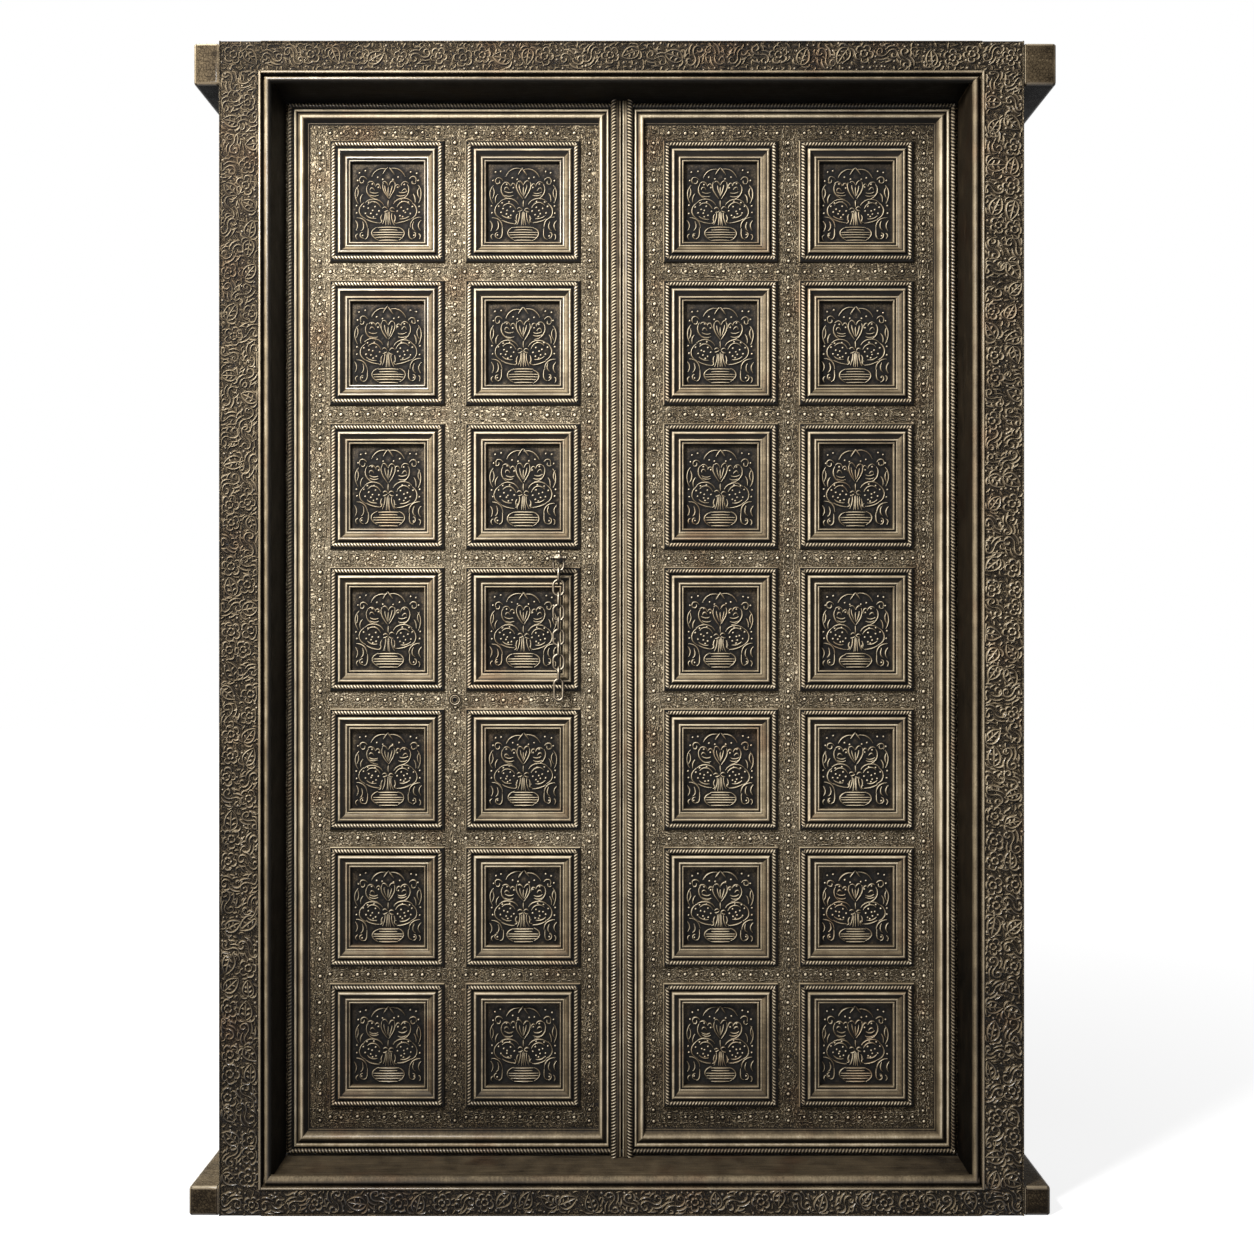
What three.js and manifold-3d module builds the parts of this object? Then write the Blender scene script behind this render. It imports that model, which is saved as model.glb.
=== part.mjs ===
// A double-leaf carved door in its frame, as a three.js scene. Millimetres: X right, Y to the rear, Z up.
// The origin is the bottom centre of the whole. The two leaves turn on wooden pegs in the lintel and sill.
import * as THREE from 'three';
import { mergeVertices } from 'three/addons/utils/BufferGeometryUtils.js';
import Module from 'manifold-3d';

const wasm = await Module();
wasm.setup();

// Clearances
const SEAT = 0.3;               // between pieces that rest on or fit into each other
const RUNNING_GAP = 4;          // between a leaf and the frame, and between the two leaves
const PEG_CLEARANCE = 0.3;      // between a pivot peg and its bore

// Frame timbers
const OVERALL_HEIGHT = 2400;
const BEAM_DEPTH = 240;
const LINTEL_HORN = 58;         // how far the lintel reaches past the facing at each end
const LINTEL_SHIFT = 7;         // and how much further it lies to the right
const LINTEL_HEIGHT = 72;
const LINTEL_HORN_DROP = 18;    // the lintel's thicker ends hang this far below it
const LINTEL_HORN_EASE = 4;     // and stop this far below its top
const SILL_HORN = 57;
const SILL_SHIFT = -4;
const HORN_SET_BACK = 2;        // from the facings' front to the beams' thicker ends
const SILL_HEIGHT = 60;
const BEAM_ROUNDING = 7;
const OPENING_WIDTH = 1440;
const POST_WIDTH = 98;
const POST_DEPTH = 128.7;
const POST_TENON = { width: 46, depth: 60, length: 34 };

// Carved facing boards, the bead inside them, and the tread
const FACING_THICKNESS = 22;
const FACING_SIDE_WIDTH = 85;
const FACING_SILL_DROP = 2;     // the sill's facing stops this far below the sill's top
const FACING_FILLET = 5;
const VINE_MARGIN = 25;         // bare field at each end of a vine
const GROOVE = 5;               // between the facing and the bead
const CARVING_SINK = 4.5;
const BEAD_SIDE_WIDTH = 12;
const BEAD_HEAD_WIDTH = 9.5;
const BEAD_HEAD_DROP = 8;       // how far the head bead hangs below the lintel
const BEAD_THICKNESS = 14;
const TREAD_THICKNESS = 9.7;
const NOSING_HEIGHT = 18;
const NOSING_REACH = 16;

// Leaves
const LEAF_THICKNESS = 45;
const LATTICE_THICKNESS = 20;
const STILE_BEHIND_POST = 57.5; // how far a leaf reaches past the opening's side
const HINGE_BAND = 40.5;
const MEETING_BAND = 38;
const MUNTIN_WIDTH = 43;
const ROW_UNEVENNESS = [2, -7, -4, 2, 6, 4, -3]; // a row's height less the mean, from the bottom row up
const RAIL_WIDTHS = [33.5, 35, 36, 36.5, 37, 37];  // between the rows, from the bottom up
const BOTTOM_BAND = 43;
const TOP_BAND = 32;
const RAIL_TENON = { thickness: 9, length: 14, shoulder: 6 };
const PEG_RADIUS = 16;
const PEG_LENGTH = 26;          // how far a peg reaches into its timber
const ROUND_SIDES = 16;

// Mouldings on the leaves
const BORDER_SHADOW = 4;        // from the opening's side to the border moulding
const BORDER_HINGE_WIDTH = 48.5;
const BORDER_TOP_WIDTH = 46;
const BORDER_BOTTOM_WIDTH = 56;
const BORDER_MEETING_WIDTH = 38;
const BORDER_CREST = 20;
const ASTRAGAL_WIDTH = 22;
const ASTRAGAL_COVER = 10;      // how far the meeting border's own edge would lie under the astragal
const ASTRAGAL_CREST = 24;
const COFFER_EDGE = 46;         // from a coffer's outer edge to its panel
const PANEL_SINK = 8;
const PANEL_RELIEF = 4;
const VINE_STEPS = 6;

// Ironwork on the left leaf
const LINK_COUNT = 11;
const WIRE_RADIUS = 3;
const LINK = { length: 38.6, width: 28 };
const END_LINK = { length: 50, width: 24 };
const CHAIN_STAND_OFF = 38;     // from the rails' front to the chain
const CHAIN_FROM_MEETING = 132;
const STAPLE_RAIL = 5;          // rails are counted from the bottom
const STAPLE_DROP = 2;          // staple below the middle of its rail
const STAPLE_BITE = 14;         // how far the staple is driven into its rail
const STAPLE_BAR = { length: 28, radius: 3.5, knob: 4.5, ahead: 9 };
const EYELET_RAIL = 4;
const EYELET = { outer: 12.5, hole: 6, height: 7 };
const KEYHOLE_DEPTH = 9;

// Places that follow from the sizes
const FRONT = -(BEAM_DEPTH + FACING_THICKNESS) / 2;
const BEAM_FRONT = FRONT + FACING_THICKNESS;
const BEAM_BACK = BEAM_FRONT + BEAM_DEPTH;
const LINTEL_BOTTOM = OVERALL_HEIGHT - LINTEL_HEIGHT;
const HALF_OPENING = OPENING_WIDTH / 2;
const FACING_INNER = HALF_OPENING + BEAD_SIDE_WIDTH + GROOVE;
const HALF_FACING = FACING_INNER + FACING_SIDE_WIDTH;
const BEAD_HEAD_BOTTOM = LINTEL_BOTTOM - BEAD_HEAD_DROP;
const BEAD_HEAD_TOP = BEAD_HEAD_BOTTOM + BEAD_HEAD_WIDTH;
const HEAD_FACING_BOTTOM = BEAD_HEAD_TOP + GROOVE;
const SILL_FACING_TOP = SILL_HEIGHT - FACING_SILL_DROP;
const TREAD_TOP = SILL_HEIGHT + SEAT + TREAD_THICKNESS;
const NOSING_TOP = SILL_HEIGHT + SEAT + NOSING_HEIGHT;
const POST_BACK = BEAM_FRONT + POST_DEPTH;
const LEAF_FRONT = POST_BACK + RUNNING_GAP;
const LEAF_BACK = LEAF_FRONT + LEAF_THICKNESS;
const LATTICE_BACK = LEAF_FRONT + LATTICE_THICKNESS;
const LEAF_BOTTOM = TREAD_TOP + RUNNING_GAP;
const LEAF_TOP = LINTEL_BOTTOM - RUNNING_GAP;
const PIVOT = {
  x: -(HALF_OPENING + STILE_BEHIND_POST - LEAF_THICKNESS / 2),
  y: (LEAF_FRONT + LEAF_BACK) / 2,
};
const MEETING_EDGE = -RUNNING_GAP / 2;
const BORDER_HINGE_EDGE = -HALF_OPENING + BORDER_SHADOW;
const HINGE_STILE_EDGE = BORDER_HINGE_EDGE + BORDER_HINGE_WIDTH + HINGE_BAND;
const BORDER_MEETING_EDGE = MEETING_EDGE - ASTRAGAL_COVER;
const MEETING_STILE_EDGE = BORDER_MEETING_EDGE - BORDER_MEETING_WIDTH - MEETING_BAND;
const COFFER_WIDTH = (MEETING_STILE_EDGE - HINGE_STILE_EDGE - MUNTIN_WIDTH) / 2;
const MUNTIN_EDGE = HINGE_STILE_EDGE + COFFER_WIDTH;
const total = (list) => list.reduce((sum, value) => sum + value, 0);
const FIRST_ROW = LEAF_BOTTOM + BORDER_BOTTOM_WIDTH + BOTTOM_BAND;
const ROWS_TOP = LEAF_TOP - BORDER_TOP_WIDTH - TOP_BAND;
const MEAN_ROW = (ROWS_TOP - FIRST_ROW - total(RAIL_WIDTHS) - total(ROW_UNEVENNESS)) / ROW_UNEVENNESS.length;
const COFFER_HEIGHTS = ROW_UNEVENNESS.map((less) => MEAN_ROW + less);
const RAILS = COFFER_HEIGHTS.length + 1;

// Profiles run from a moulding's outer edge, 0, to its inner edge, 1; heights are shares of the crest.
const BEAD_PROFILE = [[0, 0.6], [0.12, 0.85], [0.35, 1], [0.65, 1], [0.88, 0.85], [1, 0.6]];
const BORDER_PROFILE = [
  [0, 0.4], [0.03, 0.7], [0.12, 0.82], [0.21, 0.7], [0.25, 0.4], [0.29, 0.8], [0.36, 0.8], [0.39, 0.45],
  [0.49, 0.45], [0.53, 0.9], [0.61, 1], [0.7, 0.9], [0.75, 0.45], [0.98, 0.08],
];
const ASTRAGAL_PROFILE = [
  [0, 0.5], [0.06, 0.8], [0.26, 1], [0.44, 0.8], [0.52, 0.5], [0.62, 0.75], [0.96, 0.8],
];
// Offsets in millimetres from a coffer's outer edge, and heights above the rails' front.
const COFFER_PROFILE = [
  [0, 1], [7, 12.5], [13, 13.5], [15.5, 5], [20.5, 11], [25.5, 11], [28, 2], [31, 7],
  [COFFER_EDGE - 1, 0], [COFFER_EDGE, -PANEL_SINK],
];

const WOOD = { color: 0x5a4c3b, roughness: 0.5, metalness: 0 };
const DARK_WOOD = { color: 0x43382b, roughness: 0.55, metalness: 0 };
const WORN_WOOD = { color: 0x6d5d48, roughness: 0.45, metalness: 0 };
const IRON = { color: 0x4b4236, roughness: 0.45, metalness: 0.85 };

const door = new THREE.Group();

// ---- solids ----

/** A manifold solid from a closed three.js geometry. */
function solid(geometry) {
  const bare = geometry.clone();
  bare.deleteAttribute('normal');
  bare.deleteAttribute('uv');
  const merged = mergeVertices(bare, 1e-4);
  return new wasm.Manifold(new wasm.Mesh({
    numProp: 3,
    vertProperties: new Float32Array(merged.attributes.position.array),
    triVerts: new Uint32Array(merged.index.array),
  }));
}

/** A three.js geometry from a manifold solid. */
function geometryOf(body) {
  const mesh = body.getMesh();
  const geometry = new THREE.BufferGeometry();
  geometry.setAttribute('position', new THREE.BufferAttribute(new Float32Array(mesh.vertProperties), 3));
  geometry.setIndex(Array.from(mesh.triVerts));
  return geometry;
}

/** A box between two values on each axis. */
function box([x0, x1], [y0, y1], [z0, z1]) {
  const geometry = new THREE.BoxGeometry(x1 - x0, y1 - y0, z1 - z0);
  return solid(geometry.translate((x0 + x1) / 2, (y0 + y1) / 2, (z0 + z1) / 2));
}

/** A shape drawn as seen from the front, extruded from y towards the viewer. */
function relief(shape, y, height, curveSegments = 3) {
  const geometry = new THREE.ExtrudeGeometry(shape, { depth: height, bevelEnabled: false, curveSegments });
  return solid(geometry.rotateX(Math.PI / 2).translate(0, y, 0));
}

/** A round bar along Z whose corners lie on the radius. */
function roundBar(radius, z0, z1, x, y) {
  const bar = new THREE.CylinderGeometry(radius, radius, z1 - z0, ROUND_SIDES).rotateX(Math.PI / 2);
  return solid(bar.translate(x, y, (z0 + z1) / 2));
}

/** The radius of a many-sided bore whose flats clear a bar of the given radius. */
function boreRadius(barRadius, clearance) {
  return (barRadius + clearance) / Math.cos(Math.PI / ROUND_SIDES);
}

/** A closed body between two equal outlines, given as lists of points. */
function loft(first, last, facesOut) {
  const count = first.length;
  const flat = first.map((p) => new THREE.Vector2(...facesOut(p)));
  const caps = THREE.ShapeUtils.triangulateShape(flat, []);
  const clockwise = THREE.ShapeUtils.isClockWise(flat);
  const index = [];
  for (const [a, b, c] of caps) {
    index.push(a, c, b, a + count, b + count, c + count);
  }
  for (let i = 0; i < count; i += 1) {
    const next = (i + 1) % count;
    index.push(i, next, next + count, i, next + count, i + count);
  }
  if (clockwise) {
    index.reverse();
  }
  const geometry = new THREE.BufferGeometry();
  geometry.setAttribute('position', new THREE.Float32BufferAttribute([...first, ...last].flat(), 3));
  geometry.setIndex(index);
  return geometry;
}

/** Corners of the rectangle left when each side of an outer one moves in by its width times a share. */
function inset(outer, widths, share) {
  return {
    left: outer.left + widths.left * share,
    right: outer.right - widths.right * share,
    bottom: outer.bottom + widths.bottom * share,
    top: outer.top - widths.top * share,
  };
}

/** One side of a mitred rectangular moulding that stands forward of the plane y. */
function mitredStrip(outer, widths, profile, crest, y, side) {
  const section = [[0, 0], ...profile, [1, 0]];
  const ends = {
    left: [['left', 'bottom'], ['left', 'top']],
    right: [['right', 'top'], ['right', 'bottom']],
    top: [['left', 'top'], ['right', 'top']],
    bottom: [['right', 'bottom'], ['left', 'bottom']],
  };
  const outlines = ends[side].map(([across, up]) => section.map(([share, height]) => {
    const ring = inset(outer, widths, share);
    return [ring[across], y - height * crest, ring[up]];
  }));
  const upright = side === 'left' || side === 'right';
  const sign = { left: 1, right: -1, top: -1, bottom: 1 }[side];
  return solid(orient(loft(...outlines, ([x, depth, z]) => [sign * (upright ? x : z), depth])));
}

/** The same closed geometry with its faces turned outward if they face in. */
function orient(geometry) {
  const p = geometry.attributes.position;
  const index = geometry.index.array;
  const [a, b, c] = [new THREE.Vector3(), new THREE.Vector3(), new THREE.Vector3()];
  let volume = 0;
  for (let i = 0; i < index.length; i += 3) {
    a.fromBufferAttribute(p, index[i]);
    b.fromBufferAttribute(p, index[i + 1]);
    c.fromBufferAttribute(p, index[i + 2]);
    volume += a.dot(b.cross(c));
  }
  if (volume < 0) {
    geometry.setIndex(Array.from(index).reverse());
  }
  return geometry;
}

/** The mirror image of a solid across the plane x = 0. */
function mirrored(body) {
  const geometry = geometryOf(body);
  return solid(orient(geometry.scale(-1, 1, 1)));
}

/** Adds a named piece with a material of its own. */
function add(name, body, look) {
  const mesh = new THREE.Mesh(geometryOf(body), new THREE.MeshStandardMaterial(look));
  mesh.name = name;
  door.add(mesh);
}

// ---- frame ----

/** A timber along X with rounded arrises, between two places on each axis. */
function beam([x0, x1], [y0, y1], [z0, z1]) {
  const r = BEAM_ROUNDING;
  const outline = new THREE.Shape();
  outline.moveTo(y0 + r, z0);
  outline.lineTo(y1 - r, z0);
  outline.absarc(y1 - r, z0 + r, r, -Math.PI / 2, 0);
  outline.absarc(y1 - r, z1 - r, r, 0, Math.PI / 2);
  outline.absarc(y0 + r, z1 - r, r, Math.PI / 2, Math.PI);
  outline.absarc(y0 + r, z0 + r, r, Math.PI, 1.5 * Math.PI);
  const geometry = new THREE.ExtrudeGeometry(outline, {
    depth: x1 - x0 - r, bevelThickness: r / 2, bevelSize: r / 2, bevelOffset: -r / 2, bevelSegments: 1,
    curveSegments: 2,
  });
  const along = new THREE.Matrix4().makeBasis(
    new THREE.Vector3(0, 1, 0), new THREE.Vector3(0, 0, 1), new THREE.Vector3(1, 0, 0));
  return solid(geometry.applyMatrix4(along).translate(x0 + r / 2, 0, 0));
}

/** A beam behind the facings whose two ends come forward beside them. */
function hornedBeam(horn, shift, tall, hornTall) {
  const inner = HALF_FACING + SEAT;
  const [left, right] = [shift - HALF_FACING - horn, shift + HALF_FACING + horn];
  const deep = [FRONT + HORN_SET_BACK, BEAM_BACK];
  return beam([left + 1, right - 1], [BEAM_FRONT, BEAM_BACK], tall)
    .add(beam([left, -inner], deep, hornTall))
    .add(beam([inner, right], deep, hornTall));
}

/** A post's two tenons, grown by a clearance where they cut their mortices. */
function postTenons(side, grow) {
  const x = side * (HALF_OPENING + POST_WIDTH / 2);
  const y = (BEAM_FRONT + POST_BACK) / 2;
  const { width, depth, length } = POST_TENON;
  const across = [x - width / 2 - grow, x + width / 2 + grow];
  const deep = [y - depth / 2 - grow, y + depth / 2 + grow];
  const foot = box(across, deep, [SILL_HEIGHT - length - grow, SILL_HEIGHT + 1]);
  const head = box(across, deep, [LINTEL_BOTTOM - 1, LINTEL_BOTTOM + length + grow]);
  return foot.add(head);
}

/** The blind bore for a pivot peg, on one side, between two heights. */
function pegBore(side, z0, z1) {
  return roundBar(boreRadius(PEG_RADIUS, PEG_CLEARANCE), z0, z1, side * PIVOT.x, PIVOT.y);
}

function addBeams() {
  const lintelHorns = [LINTEL_BOTTOM - LINTEL_HORN_DROP, OVERALL_HEIGHT - LINTEL_HORN_EASE];
  let lintel = hornedBeam(LINTEL_HORN, LINTEL_SHIFT, [LINTEL_BOTTOM, OVERALL_HEIGHT], lintelHorns);
  let sill = hornedBeam(SILL_HORN, SILL_SHIFT, [0, SILL_HEIGHT], [0, SILL_HEIGHT]);
  for (const side of [-1, 1]) {
    const mortices = postTenons(side, SEAT);
    lintel = lintel.subtract(mortices).subtract(
      pegBore(side, LINTEL_BOTTOM - 1, LINTEL_BOTTOM + PEG_LENGTH + SEAT));
    sill = sill.subtract(mortices).subtract(pegBore(side, SILL_HEIGHT - PEG_LENGTH - SEAT, SILL_HEIGHT + 1));
  }
  add('lintel', lintel, WOOD);
  add('sill', sill, WOOD);
}

function addPosts() {
  for (const [name, side] of [['left_post', -1], ['right_post', 1]]) {
    const across = [side * HALF_OPENING, side * (HALF_OPENING + POST_WIDTH)].sort((a, b) => a - b);
    const shaft = box(across, [BEAM_FRONT, POST_BACK], [SILL_HEIGHT + SEAT, LINTEL_BOTTOM - SEAT]);
    add(name, shaft.add(postTenons(side, 0)), DARK_WOOD);
  }
}

/** A tread board that fits between the posts and turns down in a round nosing in front of them. */
function addTread() {
  const reach = HALF_OPENING + BEAD_SIDE_WIDTH;
  const r = NOSING_HEIGHT / 2;
  const nose = BEAM_FRONT - NOSING_REACH + r;
  const outline = new THREE.Shape();
  outline.moveTo(BEAM_BACK, TREAD_TOP);
  outline.lineTo(BEAM_FRONT, TREAD_TOP);
  outline.lineTo(BEAM_FRONT - 1, NOSING_TOP - 2);
  outline.lineTo(nose, NOSING_TOP);
  outline.absarc(nose, NOSING_TOP - r, r, Math.PI / 2, 1.5 * Math.PI);
  outline.lineTo(BEAM_BACK, NOSING_TOP - 2 * r);
  const board = new THREE.ExtrudeGeometry(outline, {
    depth: 2 * reach, bevelEnabled: false, curveSegments: 6,
  });
  const along = new THREE.Matrix4().makeBasis(
    new THREE.Vector3(0, 1, 0), new THREE.Vector3(0, 0, 1), new THREE.Vector3(1, 0, 0));
  let tread = solid(board.applyMatrix4(along).translate(-reach, 0, 0));
  for (const side of [-1, 1]) {
    const across = [side * (HALF_OPENING - SEAT), side * (reach + 1)].sort((a, b) => a - b);
    tread = tread.subtract(box(across, [BEAM_FRONT - SEAT, BEAM_BACK + 1], [SILL_HEIGHT, NOSING_TOP + 1]));
  }
  add('sill_tread', tread, DARK_WOOD);
}

/** The rounded bead round the opening: two sides on the tread, and a head in two lengths. */
function addBeads() {
  const outer = {
    left: -HALF_OPENING - BEAD_SIDE_WIDTH, right: HALF_OPENING + BEAD_SIDE_WIDTH,
    bottom: NOSING_TOP + SEAT, top: BEAD_HEAD_TOP,
  };
  const widths = { left: BEAD_SIDE_WIDTH, right: BEAD_SIDE_WIDTH, bottom: 0, top: BEAD_HEAD_WIDTH };
  const strip = (side) => mitredStrip(outer, widths, BEAD_PROFILE, BEAD_THICKNESS, BEAM_FRONT - SEAT, side);
  const deep = [FRONT, BEAM_FRONT];
  const half = (side) => [side * outer.right, side * SEAT / 2].sort((a, b) => a - b);
  const head = strip('top').translate([0, 0, SEAT]);
  const high = [BEAD_HEAD_BOTTOM - 1, BEAD_HEAD_TOP + 1];
  add('bead_left', strip('left'), DARK_WOOD);
  add('bead_right', strip('right'), DARK_WOOD);
  add('bead_head_left', head.intersect(box(half(-1), deep, high)), DARK_WOOD);
  add('bead_head_right', head.intersect(box(half(1), deep, high)), WORN_WOOD);
}

// ---- carving ----

/** A band of even width along a curve of points, as a closed shape. */
function stroke(points, width) {
  const sides = [[], []];
  points.forEach(([x, z], i) => {
    const [ax, az] = points[Math.max(i - 1, 0)];
    const [bx, bz] = points[Math.min(i + 1, points.length - 1)];
    const reach = width / 2 / Math.hypot(bx - ax, bz - az);
    const [nx, nz] = [-(bz - az) * reach, (bx - ax) * reach];
    sides[0].push(new THREE.Vector2(x + nx, z + nz));
    sides[1].unshift(new THREE.Vector2(x - nx, z - nz));
  });
  return new THREE.Shape([...sides[0], ...sides[1]]);
}

/** A closed shape through points given as [x, z]. */
function outlineOf(points) {
  return new THREE.Shape(points.map(([x, z]) => new THREE.Vector2(x, z)));
}

/** A regular rosette outline. */
function rosette(x, z, radius, sides = 5) {
  const corners = Array.from({ length: sides }, (_, i) => (2 * Math.PI * i) / sides);
  return outlineOf(corners.map((a) => [x + radius * Math.cos(a), z + radius * Math.sin(a)]));
}

/** A crescent: an arc that is thick in the middle and thin at both ends. */
function crescent(x, z, radius, start, sweep, thickness) {
  const arc = (count, swell) => Array.from({ length: count }, (_, i) => {
    const share = i / (count - 1);
    const angle = start + sweep * share;
    const r = radius - swell * Math.sin(Math.PI * share);
    return [x + r * Math.cos(angle), z + r * Math.sin(angle)];
  });
  return outlineOf([...arc(4, 0), ...arc(4, thickness).reverse().slice(1, -1)]);
}

/** A waving vine with a rosette in each bend, running along a board from one end to the other. */
function vineShapes(from, to, across, swing, periods, place) {
  const steps = VINE_STEPS * periods;
  const line = Array.from({ length: steps + 1 }, (_, i) => {
    const along = from + ((to - from) * i) / steps;
    return place(along, across + swing * Math.sin((2 * Math.PI * i) / VINE_STEPS));
  });
  const shapes = [stroke(line, 5)];
  for (let i = 0; i < 2 * periods; i += 1) {
    const along = from + ((to - from) * (i + 0.5)) / (2 * periods);
    const bend = i % 2 === 0 ? -1 : 1;
    shapes.push(rosette(...place(along, across + bend * swing * 0.55), swing * 0.62));
  }
  return shapes;
}

/** A facing board with a sunk field between two fillets and a vine standing in the field. */
function carvedBoard(board, fields, shapes) {
  let body = board;
  for (const [across, high] of fields) {
    body = body.subtract(box(across, [FRONT - 1, FRONT + CARVING_SINK], high));
  }
  for (const shape of shapes) {
    body = body.add(relief(shape, FRONT + CARVING_SINK + 1, CARVING_SINK + 1 - SEAT));
  }
  return body;
}

function addSideFacings() {
  const deep = [FRONT, BEAM_FRONT - SEAT];
  const middle = HALF_FACING - FACING_SIDE_WIDTH / 2;
  const swing = (FACING_SIDE_WIDTH - 2 * FACING_FILLET) * 0.27;
  const top = OVERALL_HEIGHT - FACING_FILLET;
  const throughFillet = [-FACING_INNER - FACING_FILLET - 1, -FACING_INNER + 1];
  const fields = [
    [[-HALF_FACING + FACING_FILLET, -FACING_INNER - FACING_FILLET], [FACING_FILLET, top]],
    [throughFillet, [FACING_FILLET, SILL_FACING_TOP - FACING_FILLET]],
    [throughFillet, [HEAD_FACING_BOTTOM + FACING_FILLET, top]],
  ];
  const board = box([-HALF_FACING, -FACING_INNER], deep, [0, OVERALL_HEIGHT]);
  const upright = (along, across) => [across, along];
  const shapes = vineShapes(VINE_MARGIN, OVERALL_HEIGHT - VINE_MARGIN, -middle, swing, 6, upright);
  const left = carvedBoard(board, fields, shapes);
  add('facing_left', left, WOOD);
  add('facing_right', mirrored(left), WOOD);
}

function addCrossFacings() {
  const deep = [FRONT, BEAM_FRONT - SEAT];
  const reach = FACING_INNER - SEAT;
  for (const [name, z0, z1] of [
    ['facing_head', HEAD_FACING_BOTTOM, OVERALL_HEIGHT], ['facing_sill', 0, SILL_FACING_TOP],
  ]) {
    const high = [z0 + FACING_FILLET, z1 - FACING_FILLET];
    const swing = (z1 - z0 - 2 * FACING_FILLET) * 0.27;
    const level = (along, across) => [along, across];
    const shapes = [-1, 1].flatMap((side) => vineShapes(
      side * VINE_MARGIN / 2, side * (reach - VINE_MARGIN / 2), (z0 + z1) / 2, swing, 2, level));
    const board = box([-reach, reach], deep, [z0, z1]);
    add(name, carvedBoard(board, [[[-reach - 1, reach + 1], high]], shapes), WOOD);
  }
}

/** An arch of four straight pieces and a pointed top, as one closed band. */
function archPoints(reach, foot, rise, thickness) {
  const half = [[-reach, foot], [-0.75 * reach, foot + 0.7 * rise], [0, foot + rise]];
  const outer = [...half, ...half.slice(0, -1).reverse().map(([x, z]) => [-x, z])];
  const inner = outer.slice(1, -1).reverse().map(([x, z]) => [0.92 * x, z - thickness]);
  return [...outer, ...inner].reverse();
}

/** The outlines of a vase of flowers, for a panel of the given half width and half height. */
function vaseShapes(w, h) {
  const scaled = (points) => outlineOf(points.map(([x, z]) => [x * w, z * h]));
  const both = (half) => scaled([...half, ...half.map(([x, z]) => [-x, z]).reverse()]);
  const shapes = [
    both([[0.18, -0.98], [0.38, -0.78], [0.36, -0.6], [0.24, -0.5]]),
    both([[0.12, -0.46], [0.04, -0.1], [0.05, 0.16], [0.19, 0.42], [0.06, 0.7]]),
    outlineOf(archPoints(0.5 * w, 0.56 * h, 0.4 * h, 5)),
  ];
  for (const side of [-1, 1]) {
    const turn = (angle) => (side > 0 ? angle : Math.PI - angle);
    shapes.push(crescent(side * 0.46 * w, 0.38 * h, 0.22 * h, turn(2.4), side * -4.2, 6));
    shapes.push(crescent(side * 0.48 * w, -0.14 * h, 0.28 * h, turn(2.5), side * -4.4, 7));
  }
  return shapes;
}

/** A coffer: a mitred moulding round a sunk panel that carries a vase of flowers. */
function coffer(width, height) {
  const w = width / 2 - SEAT;
  const h = height / 2 - SEAT;
  const rings = [[0, LEAF_FRONT - LATTICE_BACK - 1], ...COFFER_PROFILE];
  const position = [];
  for (const [offset, rise] of rings) {
    const [x, z, y] = [w - offset, h - offset, LEAF_FRONT - rise];
    position.push(-x, y, -z, x, y, -z, x, y, z, -x, y, z);
  }
  const index = [0, 2, 1, 0, 3, 2];
  for (let ring = 0; ring < rings.length - 1; ring += 1) {
    for (let corner = 0; corner < 4; corner += 1) {
      const [a, b] = [4 * ring + corner, 4 * ring + ((corner + 1) % 4)];
      index.push(a, b, b + 4, a, b + 4, a + 4);
    }
  }
  const last = 4 * (rings.length - 1);
  index.push(last, last + 1, last + 2, last, last + 2, last + 3);
  const geometry = new THREE.BufferGeometry();
  geometry.setAttribute('position', new THREE.Float32BufferAttribute(position, 3));
  geometry.setIndex(index);
  let body = solid(orient(geometry));
  const panel = LEAF_FRONT + PANEL_SINK;
  for (const shape of vaseShapes(w - COFFER_EDGE, h - COFFER_EDGE)) {
    body = body.add(relief(shape, panel + 1, PANEL_RELIEF + 1));
  }
  return body;
}

// ---- a leaf, built as the left one ----

/** The lower edge of a row of coffers: 0 is the lowest row. */
function rowBottom(row) {
  return FIRST_ROW + total(COFFER_HEIGHTS.slice(0, row)) + total(RAIL_WIDTHS.slice(0, row));
}

/** Heights of a rail: 1 is the lowest, and RAILS the highest. */
function railHeights(number) {
  const below = number - 2;
  const low = number === 1 ? LEAF_BOTTOM : rowBottom(below) + COFFER_HEIGHTS[below];
  const high = number === RAILS ? LEAF_TOP : rowBottom(number - 1);
  return [low, high];
}

/** A rail's two tenons, grown by a clearance where they cut their mortices. */
function railTenons(number, grow) {
  const [low, high] = railHeights(number);
  const { thickness, length, shoulder } = RAIL_TENON;
  const middle = LEAF_FRONT + LATTICE_THICKNESS / 2;
  const deep = [middle - thickness / 2 - grow, middle + thickness / 2 + grow];
  const tall = [low + shoulder - grow, high - shoulder + grow];
  const reach = length + grow;
  const left = box([HINGE_STILE_EDGE - reach, HINGE_STILE_EDGE + 1], deep, tall);
  return left.add(box([MEETING_STILE_EDGE - 1, MEETING_STILE_EDGE + reach], deep, tall));
}

/** A stile's rails' mortices. */
function withMortices(stile) {
  let body = stile;
  for (let number = 1; number <= RAILS; number += 1) {
    body = body.subtract(railTenons(number, SEAT));
  }
  return body;
}

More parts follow.
